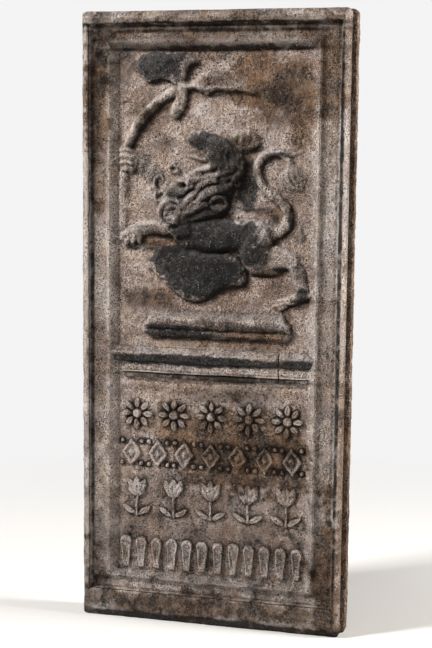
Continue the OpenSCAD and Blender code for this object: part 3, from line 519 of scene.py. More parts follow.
limb("lion_raised_foreleg",
    [(-88, 499, 7.5, 2.6), (-80, 495, 8, 2.6), (-71, 488, 8.5, 2.7), (-62, 480, 9, 3.2),
     (-52, 471, 9.5, 4.4)], full=2.2)
limb("lion_raised_paw",
    [(-91, 507, 4.5, 3.6), (-88, 501, 6.0, 4.4), (-88, 493, 5.6, 4.2), (-90, 487, 4.5, 3.8)])
limb("lion_raised_paw",
    [(-89, 506.5, 3.2, 4.6), (-95, 507.8, 3.3, 5.4), (-100, 507, 2.8, 4.0)],
    [(-88, 500.5, 3.2, 4.8), (-95, 501.6, 3.4, 5.7), (-100.6, 501, 2.8, 4.2)],
    [(-88, 494, 3.2, 4.8), (-95, 494.8, 3.4, 5.7), (-100.6, 494, 2.8, 4.2)],
    [(-89, 488, 3.2, 4.6), (-95, 488.3, 3.2, 5.3), (-99.5, 487.5, 2.6, 3.8)], full=2.8, moat=1.6)
limb("lion_lower_foreleg",
    [(-30, 424, 9, 9.6), (-42, 425.5, 8.6, 9.6), (-54, 427, 8, 9.2), (-66, 427, 7.8, 8.8),
     (-76, 425, 7.6, 8.2), (-84, 421.5, 7.6, 7.8)], full=2.8, moat=1.8)
ridge("lion_lower_foreleg",
    ([(-80, 430), (-72, 432), (-64, 432), (-55, 430), (-46, 429)], 0.8, 1.6),
    ([(-72, 422), (-58, 422), (-44, 420)], -0.4, 2.2))
limb("lion_lower_paw", [(-82, 421.5, 8, 7.6), (-89, 419, 8.4, 7.6), (-95, 416.5, 6.6, 6.4)], full=2.8)
limb("lion_lower_paw",
    [(-91, 421, 4.6, 7.4), (-96.5, 418.5, 4.4, 6.6), (-99.6, 415, 3.4, 4.6)],
    [(-88, 418, 4.6, 7.4), (-92, 413.8, 4.2, 6.6), (-94.5, 410.5, 3.0, 4.4)],
    [(-84, 418, 4.4, 7.2), (-86.2, 413.2, 3.9, 6.4), (-87.5, 409.8, 2.8, 4.2)],
    [(-79, 419, 4.0, 7.0), (-80, 414.2, 3.5, 5.8), (-80, 411, 2.5, 3.8)], full=2.1, moat=1.0)

# ---------------------------------------------------------------------------------------------------
# The mane. One mass from the jaw to the shoulder, combed into full round locks with dark hollows between
# them. Curls stand free before the breast, and a large one lies over the shoulder of the lower foreleg.

mass("lion_mane",
    [(-50, 430), (-57, 441), (-58.5, 452), (-55, 462), (-50, 470), (-43, 476), (-30, 479), (-15, 485),
     (-2, 494), (14, 502), (30, 503), (34.5, 492), (31, 480), (25, 470), (18.5, 460), (17.5, 450),
     (12, 441), (0, 436.5), (-15, 433.5), (-30, 430), (-42, 427)], 6.0, 6.5,
    [(-22, 472.5, 6.5, 2.6), (-7, 473.5, 6.5, 2.4), (6, 466, 9, 3.2), (-9, 461, 8, 2.6),
     (-25, 455, 7.5, 2.2), (-13, 447, 8, 2.2), (7, 452, 6.5, 2.4), (14, 478, 8, 2.8), (24, 490, 9, 2.2),
     (-47, 451, 6, 1.4), (-30, 438, 7, 1.0)], moat=1.2)
limb("lion_mane",
    [(31, 497, 3.6, 7.8), (30, 488, 4.2, 8.4), (25, 480, 4.4, 8.8), (20, 473, 3.6, 8.6),
     (18, 465, 2.8, 7.6)],
    [(21, 498, 4.2, 8.8), (18, 489, 4.8, 9.8), (10, 484, 4.8, 9.8), (2, 483, 3.6, 9.0)],
    [(6, 482, 3.6, 9.4), (-4, 481, 4.4, 9.6), (-13, 479.5, 5.0, 9.6), (-22, 477, 5.2, 9.2),
     (-28, 472, 4.2, 8.0), (-26.5, 466.5, 2.8, 7.0)],
    [(4, 476.5, 4.0, 9.8), (-5, 475.5, 4.6, 10.0), (-12.5, 471.5, 4.6, 9.6), (-17, 465.5, 3.6, 8.8)],
    [(19, 473, 4.0, 9.4), (13, 469.5, 6.4, 11.0), (4, 466.5, 7.2, 11.4), (-5, 463, 6.6, 10.8),
     (-12, 458, 5.2, 9.8), (-16, 452, 3.4, 8.4)],
    [(-18, 463, 4.0, 8.8), (-23.5, 459.5, 4.8, 9.0), (-28.5, 454, 4.6, 8.4), (-31, 448, 3.0, 7.2)],
    [(-33, 449.5, 3.0, 7.4), (-37, 454.5, 3.6, 8.0), (-44, 456.8, 3.8, 8.0), (-51.5, 454, 3.8, 7.6),
     (-56, 447, 3.6, 7.0), (-57, 439, 3.0, 6.0), (-53.5, 433, 2.4, 5.0)],
    [(-36, 447.5, 2.4, 7.0), (-42, 449.8, 2.6, 7.2), (-48, 447.5, 2.6, 7.0), (-51, 441.5, 2.4, 6.2)],
    [(-7, 452.5, 4.2, 9.2), (-13.5, 449.5, 4.8, 9.4), (-20, 445.5, 4.2, 8.6), (-27, 442, 3.4, 7.6),
     (-33, 437, 3.0, 6.6)],
    [(5, 443.5, 3.8, 8.4), (-5, 442.5, 4.4, 8.8), (-14, 439.5, 4.0, 7.8), (-22, 436, 3.0, 6.4)],
    [(-1.5, 454, 2.4, 9.0), (3, 458.5, 2.8, 10.0), (9, 460.3, 2.8, 10.4), (14.5, 458, 2.6, 9.8),
     (16, 453, 2.0, 8.6)],
    [(-0.5, 450, 2.2, 8.8), (4.5, 447, 2.8, 9.4), (10.5, 447.6, 2.6, 9.2), (14.5, 450.5, 1.8, 8.2)],
    full=2.4, moat=1.5)
ridge("lion_mane",
    ([(-55, 461), (-53, 468), (-46, 474), (-39, 475)], -2.4, 2.0),
    ([(-38, 472.5), (-30, 471.5)], -4.6, 2.4),
    ([(-20, 468), (-25, 464), (-31, 460), (-36, 457.5)], -2.6, 1.6),
    ([(3, 453), (8, 454.6), (12, 454)], -4.4, 1.9), ([(12, 444.5), (16, 447.5), (18, 453)], -2.0, 1.6),
    ([(-51, 444.5), (-46, 446), (-40, 445.5)], -2.0, 1.5), ([(16, 480), (19, 473), (21, 465)], -1.6, 1.8),
    ([(9, 472), (0, 469.5), (-8, 465)], -0.7, 1.2), ([(-7, 482.5), (-15, 480), (-23, 475)], -0.8, 1.1),
    ([(24, 494), (23, 487), (17, 481)], -1.2, 1.4))
limb("lion_mane_curls",
    [(-53.5, 465.5, 2.0, 5.0), (-58.5, 463.8, 2.3, 5.0), (-62.6, 467.5, 2.4, 5.2), (-63.6, 473.5, 2.4, 5.4),
     (-61.4, 479, 2.3, 5.4), (-56.5, 480.8, 2.2, 5.4), (-53, 477.8, 2.0, 5.2), (-54, 473.5, 1.8, 4.8)],
    [(-61.5, 464, 1.8, 4.2), (-63.2, 459, 2.0, 4.4), (-60.4, 454.8, 2.0, 4.4), (-57, 456, 1.8, 4.4)],
    [(-38.5, 486.5, 1.6, 3.4), (-41.5, 484.4, 1.8, 3.6), (-46, 485.6, 1.9, 3.8), (-47.4, 489.6, 1.9, 3.8),
     (-44, 492.4, 1.8, 3.6), (-40, 490.6, 1.6, 3.2)], roll(26, 473.5, 3.8, 0.8, 60, 2.0, 7.4, 0.1, -1),
    full=2.1, moat=2.0)
for x, z, radius, tall in ((-58.6, 471.5, 2.0, 3.4), (-42.0, 434.5, 7.4, 10.4)):
    limb("lion_mane_curls", [(x - 0.8, z, radius, tall), (x + 0.8, z, radius, tall)], full=2.4, moat=1.6)
ridge("lion_mane_curls", ([(-46, 437.5), (-42, 439.5), (-38.6, 437), (-39.6, 432.6)], -0.9, 1.0))

# ---------------------------------------------------------------------------------------------------
# The lion's head. It is thrown up and roars: a smooth blunt muzzle, a heavy brow, and the lower jaw hung
# open with the tongue out.

limb("lion_lower_jaw",
    [(4, 493, 3.6, 8.6), (-4, 490.5, 4.0, 8.6), (-12, 487.5, 4.2, 8.2), (-20, 484.5, 4.0, 7.0),
     (-27.5, 480, 3.2, 5.4)], full=2.4)
ridge("lion_lower_jaw", ([(-4, 492.5), (-12, 489.5), (-20, 487), (-28, 481)], 0.7, 1.2))
limb("lion_lower_jaw",
    [(-8, 498, 2.0, 5.4), (-16, 500, 2.3, 5.2), (-25, 502, 1.8, 3.6)], full=2.0, moat=0.8)
mass("lion_head",
    [(-27.5, 521.5), (-23, 527.5), (-14, 528.5), (-5, 525.5), (2, 523), (10, 520.5), (20, 515.5), (29, 508),
     (34, 498), (32.5, 488), (24, 483.5), (13, 484), (4, 488), (-3, 494.5), (-9, 501), (-16, 507),
     (-22.5, 512.5), (-27, 517)], 8.2, 8.0, [(-16, 519, 9, 1.4), (6, 511, 11, 2.0), (20, 498, 12, 0.8)],
    moat=1.0)
ridge("lion_head",
    ([(-24, 511.5), (-16, 505.5), (-9.5, 500), (-5, 495)], 1.3, 1.7),
    ([(-21, 515), (-14, 509.5), (-7, 504.5)], -1.0, 1.3), ([(-24.5, 522), (-22.5, 519.5)], -1.3, 1.3),
    ([(-7, 519.5), (-1, 517.5), (5, 518.5)], 0.9, 1.6), ([(-4, 515.5), (0, 514), (4, 515)], -1.2, 1.2),
    ([(-13, 521), (-8, 523), (-2, 521.5)], -0.5, 1.4), ([(12, 512), (16, 509), (18, 505)], -0.9, 1.5),
    ([(18, 513), (22, 510), (23, 505)], 0.8, 1.6))
for hair in ([(8, 508), (5, 502), (7, 495), (4, 488)], [(14, 509), (11, 502), (14, 494), (11, 487)],
             [(20, 508), (17, 501), (20, 493), (18, 485)], [(26, 505), (24, 498), (27, 491), (25, 484)],
             [(31, 500), (30, 493), (31, 487)]):
    ridge("lion_head", (hair, -1.4, 1.3), ([(x + 2.8, z + 0.4) for x, z in hair], 0.8, 1.6))

# ---------------------------------------------------------------------------------------------------
# The crown. An open crown tilted back on the head: a plain band, and four worn leaves with a dent
# between each two.

mass("lion_crown",
    [(19, 514), (19, 521), (22, 527), (26.5, 528), (29.5, 531), (34, 530), (38.5, 530.5), (41.5, 527.5),
     (44.5, 524), (49.5, 516.5), (47.5, 511.5), (40.5, 508.5), (33, 506), (26, 508.5)], 3.0, 4.0, moat=0.4)
limb("lion_crown",
    [(23.5, 515, 3.2, 3.8), (22.8, 519.5, 3.8, 4.4), (24.5, 524.5, 2.8, 3.6)],
    [(30, 515.5, 3.6, 4.0), (30.2, 521, 4.2, 4.8), (31, 527, 3.0, 3.8)],
    [(36.5, 516, 3.6, 4.0), (37.2, 521.5, 4.0, 4.6), (38, 527, 2.8, 3.6)],
    [(42.5, 515.5, 3.0, 3.8), (43.4, 519.5, 3.2, 4.4), (43.6, 523, 2.4, 3.6)], full=2.6, moat=0.3)
limb("lion_crown",
    [(21, 513.5, 2.8, 4.2), (27, 510.8, 3.2, 5.2), (34, 509.4, 3.4, 5.6), (41, 511.8, 3.2, 5.2),
     (48, 515, 2.4, 4.0)], full=2.6, moat=0.6)
for x, z in ((26.6, 519), (33.6, 518.5), (40.3, 517.5)):
    ridge("lion_crown", ([(x - 0.4, z - 1.5), (x + 0.4, z + 2)], -1.2, 1.2))

# ---------------------------------------------------------------------------------------------------
# The ground bar under the lion. A stout stick with a sloping top, a hollow below its front and a foot.

area, x, z = patch(-80, 90, 308, 342)
left_end = np.interp(z, [310, 319, 326.5, 340], [-68, -77, -71.5, -67])
right_end = np.interp(z, [310, 317.5, 328, 340], [79.5, 87, 84, 76.5])
from_end = np.minimum(x - left_end, right_end - x)
bar_form = np.interp(z, [310, 311, 317, 318.6, 320, 321.6, 329, 331, 332.6, 339, 340],
                     [0, 3.9, 5.2, 4.6, 3.2, 6.8, 9.7, 10.0, 9.4, 2.0, 0])
bar_form = bar_form * np.sqrt(1 - (1 - np.clip(from_end / 3.5, 0, 1)) ** 2)
heap("ground_bar", area, bar_form, (from_end > 0) & (z > 310) & (z < 340),
     np.maximum.reduce([-from_end, 310 - z, z - 340]))

# ---------------------------------------------------------------------------------------------------
# How the pieces are finished: a mesh in the plate's place, its stains with painted shade and highlights,
# its iron, and the CAD piece that it stands for. No piece reaches more than 0.6 mm past the plate's own
# box, and none below the floor.

reach_low, reach_high = (-146.6, -18.6, 0), (146.6, 18.6, 650.6)


def blurred(values, sigma):
    """Smooth a grid of values by a bell this many cells wide."""
    reach = int(3 * sigma) + 1
    bell = np.exp(-0.5 * (np.arange(-reach, reach + 1) / sigma) ** 2)
    bell /= bell.sum()
    for axis in (0, 1):
        padded = np.pad(values, [(reach, reach) if k == axis else (0, 0) for k in (0, 1)], mode="edge")
        values = sum(w * np.roll(padded, reach - k, axis) for k, w in enumerate(bell))
        values = values[reach:-reach] if axis == 0 else values[:, reach:-reach]
    return values


def finished(name, slot, points, faces, hollow, loop_normals=None, keen=35, rubbed=0.0):
    """Make one piece of the plate from points in millimetres, and let it replace the CAD piece. Stains and
    painted shade are for the face only: the back is plain rust. Where a piece is rubbed, soot, painted shade
    and rust are worn off."""
    points = np.clip(np.asarray(points, float), reach_low, reach_high)
    mesh = bpy.data.meshes.new("cast_" + name)
    mesh.from_pydata((points / 1000).tolist(), [], faces)
    x, z, proud = points[:, 0], points[:, 2], np.clip((face_y - points[:, 1] - 0.6) / 1.5, 0, 1)
    front = np.clip((1 - points[:, 1]) / 5, 0, 1)
    film = stain_and_light_strength("film", x, z)
    patina = film if slot == "iron_frame" else np.maximum(film, stain_and_light_strength("patina", x, z) * proud)
    rust = stain_and_light_strength("rust", x, z) * front + (0.4 + 0.4 * lumps(x, z, 47, 51)) * (1 - front)
    patchy = 0.8 * lumps(x, z, 12, 52) + 0.7 * lumps(x, z, 5.5, 53)
    patchy = patchy * np.interp(z, (230, 270), (1, 0.5)) * front
    soot_and_shade = (stain_and_light_strength("soot_and_shade", x, z) + 0.3 * np.clip(patchy, 0, 1)) * front
    # Painted highlights and rubbed patches take painted shade and dust away.
    highlight_and_rubbed = (stain_and_light_strength("highlight_and_rubbed", x, z) + 0.7 * np.clip(-patchy - 0.1, 0, 1)) * front
    for what, values in (("patina", patina * front * (1 - rubbed)), ("rust", rust * (1 - 0.6 * rubbed)),
                         ("soot_and_shade", soot_and_shade * (1 - rubbed)), ("hollow", np.asarray(hollow) - 0.45 * highlight_and_rubbed)):
        values = np.asarray(values, np.float32)
        mesh.attributes.new(what, "FLOAT", "POINT").data.foreach_set("value", values)
    mesh.materials.append(irons[slot])
    if loop_normals is None:
        mesh.polygons.foreach_set("use_smooth", np.ones(len(mesh.polygons), bool))
        mesh.set_sharp_from_angle(angle=math.radians(keen))
    else:
        plain = np.linalg.norm(loop_normals, axis=1) < 0.5
        starts = np.empty(len(mesh.polygons), int)
        mesh.polygons.foreach_get("loop_start", starts)
        mesh.polygons.foreach_set("use_smooth", ~plain[starts])
        mesh.normals_split_custom_set(loop_normals.tolist())
    piece = bpy.data.objects.new("cast_" + name, mesh)
    bpy.context.scene.collection.objects.link(piece)
    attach(piece, "root")
    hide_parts(name)


# ---------------------------------------------------------------------------------------------------
# The rim and the mouldings. Wooden battens mitred at the corners of the pattern: outside a flat rim with
# a bevelled edge, then a sunk line, a wide hollow, and a crest that slopes down to the board. Each profile
# point is [place across, height].

def skin(rings):
    """Join a row of closed rings and close both ends, with the faces outwards."""
    n, m = rings.shape[:2]
    i, k = np.meshgrid(np.arange(n - 1), np.arange(m), indexing="ij")
    a, b = i * m + k, i * m + (k + 1) % m
    quads = np.stack([a, b, b + m, a + m], -1).reshape(-1, 4)
    caps = [np.arange(m)[::-1].tolist(), ((n - 1) * m + np.arange(m)).tolist()]
    points = rings.reshape(-1, 3)
    p, q, r, s = (points[quads[:, c]] for c in range(4))
    outwards = np.einsum("ij,ij->i", (p + q + r + s) / 4 - points.mean(0), np.cross(r - p, s - q)).sum()
    if outwards < 0:
        quads, caps = quads[:, ::-1], [c[::-1] for c in caps]
    return points, quads.tolist() + caps


def loft(name, slot, rings, hollow):
    """A piece made of rings, and its painted shade and dust at each point of a ring."""
    points, faces = skin(rings)
    finished(name, slot, points, faces, np.broadcast_to(hollow, rings.shape[:2]).ravel())


def sunk(places, heights):
    """How much lower a profile lies than what is round it."""
    fine_places = np.arange(min(places), max(places) + 0.25, 0.25)
    even = np.interp(fine_places, places, heights)
    bell = np.exp(-0.5 * (np.arange(-20, 21) / 8) ** 2)
    soft = np.convolve(np.pad(even, 20, mode="edge"), bell / bell.sum(), "valid")
    return np.interp(places, fine_places, soft - even) * 0.2


# The width of the rim's bevel and of the whole rim, then half the width of the field inside the
# mouldings and the heights of its lower and upper edge.
rim_widths = {"side": (4.5, 8), "top": (7, 13), "bottom": (12, 31)}
field_edges = 103, 53, 611
rim_profile = [
    (0, 0), (0, 2), (0, 4), (0, 5.3), (0.05, 6.1), (0.16, 7.0), (0.35, 8.2), (0.55, 9.3), (0.75, 10.5),
    (0.9, 11.3), (1.0, 11.8), (1.1, 12.0), (1.25, 12.05), (1.4, 12), (1.55, 12), (1.68, 11.9), (1.78, 11.6),
    (1.86, 11.1), (1.92, 10.5), (1.97, 9.8), (2, 9.1), (2, 7.5), (2, 6), (2, 4), (2, 0)
]
moulding_profile = [
    (0, -0.4), (0, 0.7), (0.02, 1.1), (0.07, 2.4), (0.14, 4.2), (0.21, 6.1), (0.25, 7.5), (0.27, 8.2),
    (0.29, 8.4), (0.305, 7.9), (0.32, 7.8), (0.335, 8.1), (0.35, 7.7), (0.375, 6.7), (0.43, 5.6),
    (0.49, 4.9), (0.55, 4.6), (0.61, 4.6), (0.67, 4.8), (0.72, 5.2), (0.77, 5.6), (0.81, 5.9),
    (0.84, 5.9), (0.87, 5.6), (0.9, 5.3), (0.93, 5.2), (0.955, 5.6), (0.975, 6.4), (0.99, 7.4), (1, 8.4),
    (1, -0.4)
]


def rounded_corner(x, z, half, radius=5.0):
    """Draw what lies past a round corner of the plate back onto it."""
    over_x = np.abs(x) - (half - radius)
    for low, sign in ((radius, -1), (plate_height - radius, 1)):
        over_z = (z - low) * sign
        past = np.hypot(over_x, over_z)
        move = (over_x > 0) & (over_z > 0) & (past > radius)
        x = np.where(move, np.sign(x) * (half - radius + over_x * radius / np.maximum(past, 1e-6)), x)
        z = np.where(move, low + sign * over_z * radius / np.maximum(past, 1e-6), z)
    return x, z


def batten(name, side, profile, insets):
    """One mitred side. insets gives half the width that a place across has, and its low and high height."""
    half, low, high = (np.array([insets(t)[c] for t, h in profile]) for c in range(3))
    heights = np.array([h for t, h in profile], float)
    steps = 330 if side in ("left", "right") else 150
    share = np.linspace(0, 1, steps)[:, None]
    if side in ("left", "right"):
        x = np.broadcast_to(half * (1 if side == "right" else -1), (steps, len(half)))
        z = low + (high - low) * share
        across = half
    else:
        x = half * (2 * share - 1)
        z = np.broadcast_to(high if side == "top" else low, (steps, len(half)))
        across = high if side == "top" else low
    show = np.clip(heights / 2, 0, 1)
    lean = 0.35 * lumps(x, z, 17, 21) + 0.2 * lumps(x, z, 5, 22)
    y = face_y - heights - show * casting_skin(x, z, 0.95)
    x, z = rounded_corner(x + show * lean, z + show * 0.8 * lean, plate_half)
    # Painted shade in the profile's low parts and lighter crests, from how much lower each lies than what is
    # round it.
    loft(name, "iron_frame", np.stack([x, y, z], -1), sunk(np.abs(across - across[0]), heights))


def rim_insets(t):
    """The bevel runs to place 1 and the flat rim on to place 2."""
    def inset(kind):
        bevel, width = rim_widths[kind]
        return bevel * min(t, 1) + (width - bevel) * max(t - 1, 0)
    return plate_half - inset("side"), inset("bottom"), plate_height - inset("top")


def moulding_insets(t):
    """The moulding runs from the edge of the field out to the rim."""
    return [inner + (outer - inner) * t for inner, outer in zip(field_edges, rim_insets(2))]


for side in ("left", "right", "top", "bottom"):
    batten("rim_" + side, side, rim_profile, rim_insets)
    batten("moulding_" + side, side, moulding_profile, moulding_insets)

# ---------------------------------------------------------------------------------------------------
# The edge rails. Square bars cast on behind the board, so that a groove down each side takes the next
# plate's edge. They are rusty and rough, and short stops close each groove at its ends.

def bar(x_from, x_to, y_from, y_to, z_from, z_to, along_z, round_to=None, worn=1.2):
    """A rough bar with worn edges, as rings for loft."""
    low, high = (x_from, x_to) if along_z else (z_from, z_to)
    corners = []
    for sign_u, sign_y, start in ((-1, -1, 180), (1, -1, 270), (1, 1, 0), (-1, 1, 90)):
        middle_u = (low + worn if sign_u < 0 else high - worn)
        middle_y = (y_from + worn if sign_y < 0 else y_to - worn)
        for a in np.radians(start + np.array([0, 30, 60, 90])):
            corners.append((middle_u + worn * math.cos(a), middle_y + worn * math.sin(a)))
    loop = []
    for (u0, y0), (u1, y1) in zip(corners, corners[1:] + corners[:1]):
        cuts = max(1, round(math.hypot(u1 - u0, y1 - y0) / 3))
        loop += [(u0 + (u1 - u0) * c / cuts, y0 + (y1 - y0) * c / cuts) for c in range(cuts)]
    u, y = np.array(loop).T
    begin, end = (z_from, z_to) if along_z else (x_from, x_to)
    stations = np.linspace(begin, end, max(4, int((end - begin) / 3)))[:, None]
    u, y, run = u + 0 * stations, y + 0 * stations, stations + 0 * u
    middle_u, middle_y = (low + high) / 2, (y_from + y_to) / 2
    out_u, out_y = u - middle_u, y - middle_y
    away = np.hypot(out_u, out_y)
    shove = casting_skin(run + 7 * y, u + 5 * y, 1.1) - 0.25
    ends = np.clip(np.minimum(run - begin, end - run) / 2 + 0.2, 0, 1)
    u, y = u + ends * shove * out_u / away, y + ends * shove * out_y / away
    x, z = (u, run) if along_z else (run, u)
    if round_to:
        x, z = rounded_corner(x, z, round_to)
    return np.stack([x, y, z], -1)


rail_y, rail_inner = board_back_y + 14, 116
stop_heights = ("bottom", 0, 10), ("top", 641, plate_height)
for side, sign in (("left", -1), ("right", 1)):
    x_from, x_to = sorted((rail_inner * sign, rail_half * sign))
    loft("edge_rail_" + side, "iron_rust",
         bar(x_from, x_to, board_back_y, rail_y, 0, plate_height, True, rail_half), 0.1)
for side, low, high in reversed(stop_heights):
    loft("edge_rail_" + side, "iron_rust",
         bar(-rail_inner, rail_inner, board_back_y, rail_y, low, high, False), 0.1)

# ---------------------------------------------------------------------------------------------------
# The cornice. An upper stick with a sloping top, a plain band and a bead, planted across the board. It
# was made in two lengths: a short end piece meets the long one at an open joint near the right side.

def stick(name, slot, bottom, profile, start, stop):
    """A run of moulding. Its ends follow the outlines start and stop, as [heights over the floor], [x]."""
    rise, heights = np.array(profile, float).T
    z = bottom + rise
    x0, x1 = np.interp(z, *start), np.interp(z, *stop)
    share = np.linspace(0, 1, max(12, int((x1 - x0).mean() / 1.5)))[:, None]
    x = x0 + (x1 - x0) * share
    z = z + 0 * x
    show = np.clip(heights / 1.5, 0, 1)
    rough = casting_skin(x, z, 1.15) + 0.3 * lumps(x, z, 7, 24)
    bow = 0.35 * lumps(x, 0 * z + bottom, 31, 25)
    from_end = np.minimum(share, 1 - share) * (x1 - x0).mean()
    rounding = np.sqrt(1 - (1 - np.clip(from_end / 1.6, 0, 1)) ** 2 * 0.5)
    y = face_y - heights * np.where(heights > 0, rounding, 1) - show * rough
    # Painted shade under the stick and the bead and a painted highlight on their tops, 2.2 times as strong
    # as on the mouldings.
    loft(name, slot, np.stack([x, y, z + show * bow], -1), 2.2 * sunk(z[0] - bottom, heights))


stick_profile = [
    (0, -0.5), (0, 1.6), (0.2, 2.8), (0.7, 4.0), (1.6, 4.7), (3, 5.0), (4.5, 5.2), (6, 5.7), (7.5, 6.4),
    (9, 7.1), (10, 7.4), (10.8, 7.3), (11.6, 6.6), (12.6, 5.4), (13.6, 4.2), (14.8, 3.0), (16, 1.6),
    (16.7, 0.5), (17, -0.5)
]
band_profile = [
    (0, -0.5), (0, 1.7), (0.8, 2.1), (2.5, 2.2), (4.5, 2.1), (6.5, 2.1), (8.2, 2.0), (9, 1.6), (9, -0.5)
]
bead_profile = [
    (0, -0.5), (0, 0.6), (0.3, 1.9), (0.9, 3.2), (1.8, 4.1), (2.8, 4.6), (3.6, 4.5), (4.2, 3.7), (4.7, 2.4),
    (5.1, 1.7), (5.6, 1.9), (6.1, 3.0), (6.6, 3.5), (7.1, 3.3), (7.6, 2.3), (8, 1.2), (8, -0.5)
]
left_tip = [266, 270, 274, 283, 283.01, 300], [-95, -99, -98, -95, -113, -113]
before_joint, after_joint = ([0, 1], [72, 72]), ([0, 1], [73.2, 73.2])
right_tip = [266, 270.8, 277.6, 283, 300], [101, 104, 108, 112, 110]
for piece, start, stop in (("", left_tip, before_joint), ("end_", after_joint, right_tip)):
    for part, slot, bottom, profile in (("stick", "iron_patina", 283, stick_profile),
                                        ("frieze", "iron_relief", 274, band_profile),
                                        ("bead", "iron_relief", 266, bead_profile)):
        stick("cornice_" + piece + part, slot, bottom, profile, start, stop)

# ---------------------------------------------------------------------------------------------------
# The ornament rows. Small patterns pressed into the mould one beside another: rosettes of eight petals,
# lozenges with pellets between them, tulips and round-headed tongues. One hand-set copy is never quite
# like the next.

def repeating(name):
    """A Geometry Nodes tree that sets copies of a motif in a row or round a point."""
    tree = bpy.data.node_groups.new(name, "GeometryNodeTree")
    bench = Workbench(tree)
    for what, kind in (("Motif", "Geometry"), ("Copies", "Int"), ("Step", "Vector"), ("Turn", "Float"),
                       ("Unevenness", "Float"), ("Seed", "Int")):
        tree.interface.new_socket(what, in_out="INPUT", socket_type="NodeSocket" + kind)
    tree.interface.new_socket("Row", in_out="OUTPUT", socket_type="NodeSocketGeometry")
    given = tree.nodes.new("NodeGroupInput")
    motif, copies, step, angle, uneven, seed = (Wire(tree, s) for s in given.outputs[:6])

    def chance(low, high, own_seed):
        return bench.node("FunctionNodeRandomValue", {"data_type": "FLOAT"}, 1, i2=low, i3=high,
                          Seed=own_seed)

    start = bench.node("ShaderNodeVectorMath", {"operation": "SCALE"}, i0=step, Scale=copies * -0.5 + 0.5)
    row = bench.node("GeometryNodeMeshLine", {"mode": "OFFSET"}, Count=copies, Start_Location=start,
                     Offset=step)
    number = bench.node("GeometryNodeInputIndex")
    askew = chance(uneven * -1.0, uneven, seed)
    size = chance(1.0 - uneven, uneven + 1.0, seed + 5)
    turned = bench.node("ShaderNodeCombineXYZ", Y=number * angle + askew)
    sized = bench.node("ShaderNodeCombineXYZ", X=size, Y=1.0, Z=size)
    placed = bench.node("GeometryNodeInstanceOnPoints", Points=row, Instance=motif, Rotation=turned,
                        Scale=sized)
    solid = bench.node("GeometryNodeRealizeInstances", Geometry=placed)
    bench.node("NodeGroupOutput", Row=solid)
    return tree


set_in_order = repeating("copies_set_in_order")


def repeated(points, faces, copies, step, angle, uneven, seed):
    """The points and faces of a motif, in metres, repeated by the tree."""
    mesh = bpy.data.meshes.new("motif")
    mesh.from_pydata([tuple(p) for p in points], [], [tuple(f) for f in faces])
    holder = bpy.data.objects.new("motif", mesh)
    bpy.context.scene.collection.objects.link(holder)
    modifier = holder.modifiers.new("copies", "NODES")
    modifier.node_group = set_in_order
    for item in set_in_order.interface.items_tree:
        if item.in_out == "INPUT" and item.name != "Motif":
            modifier[item.identifier] = {"Copies": copies, "Step": step, "Turn": angle,
                                         "Unevenness": uneven, "Seed": seed}[item.name]
    whole = bpy.data.meshes.new_from_object(holder.evaluated_get(bpy.context.evaluated_depsgraph_get()))
    out_points = [tuple(v.co) for v in whole.vertices]
    out_faces = [tuple(f.vertices) for f in whole.polygons]
    holder.modifiers.remove(modifier)
    bpy.data.objects.remove(holder)
    return out_points, out_faces


def pressed(outline, centre, crown, levels, crease=None):
    """A soft form over an outline, anticlockwise seen from the front. Its levels are [share out from the
    centre, share of the crown's height], from the middle to the edge, and crease is a line
    [x, z, x, z, depth] sunk in it."""
    outline = np.array(outline, float)
    points = [(centre[0], -levels[0][1] * crown, centre[1])]
    for share, up in levels:
        if share > 0:
            ring = np.array(centre) + (outline - centre) * share
            points += [(px, -up * crown, pz) for px, pz in ring]
    points = np.array(points)
    if crease:
        x0, z0, x1, z1, depth = crease
        d = np.array([x1 - x0, z1 - z0])
        s = np.clip(((points[:, 0] - x0) * d[0] + (points[:, 2] - z0) * d[1]) / (d @ d), 0, 1)
        away = np.hypot(points[:, 0] - x0 - s * d[0], points[:, 2] - z0 - s * d[1])
        points[:, 1] += depth * np.exp(-(away / 0.7) ** 2) * (points[:, 1] < -0.6)
    n, rings = len(outline), (len(points) - 1) // len(outline)
    faces = [(0, 1 + k, 1 + (k + 1) % n) for k in range(n)]
    for r in range(rings - 1):
        for k in range(n):
            a, b = 1 + r * n + k, 1 + r * n + (k + 1) % n
            faces.append((a, a + n, b + n, b))
    faces.append(tuple(range(len(points) - 1, len(points) - 1 - n, -1)))
    return points / 1000, faces


def joined(parts):
    """Several sets of points and faces as one."""
    points, faces = [], []
    for more_points, more_faces in parts:
        faces += [tuple(v + len(points) for v in f) for f in more_faces]
        points += [tuple(p) for p in more_points]
    return points, faces


def shifted(part, x, z, angle=0.0):
    """A part of a motif, turned and then moved over the face by millimetres."""
    points, faces = part
    across, out, up = np.array(points).T
    c, s = math.cos(angle), math.sin(angle)
    return np.stack([x / 1000 + across * c - up * s, out, z / 1000 + across * s + up * c], 1), faces


def leaf_outline(length, width, points=9):
    """A pointed leaf from its foot at the origin up along z."""
    z = np.linspace(0, length, points)
    x = width / 2 * np.sin(np.pi * np.linspace(0, 1, points)) ** 0.75
    return [(a, b) for a, b in zip(x, z)] + [(-a, b) for a, b in zip(x[-2:0:-1], z[-2:0:-1])]


def circle_outline(radius, points=16):
    return [(radius * math.cos(a), radius * math.sin(a)) for a in np.arange(points) * 2 * math.pi / points]


dome_levels = [(0, 1), (0.35, 0.97), (0.6, 0.86), (0.8, 0.64), (0.93, 0.36), (1, 0), (1, -0.3)]
leaf_levels = [(0, 0.93), (0.4, 1), (0.65, 0.93), (0.84, 0.66), (0.95, 0.34), (1, 0), (1, -0.3)]
flat_levels = [(0, 0.9), (0.4, 0.95), (0.7, 1), (0.86, 0.9), (0.96, 0.5), (1, 0), (1, -0.3)]

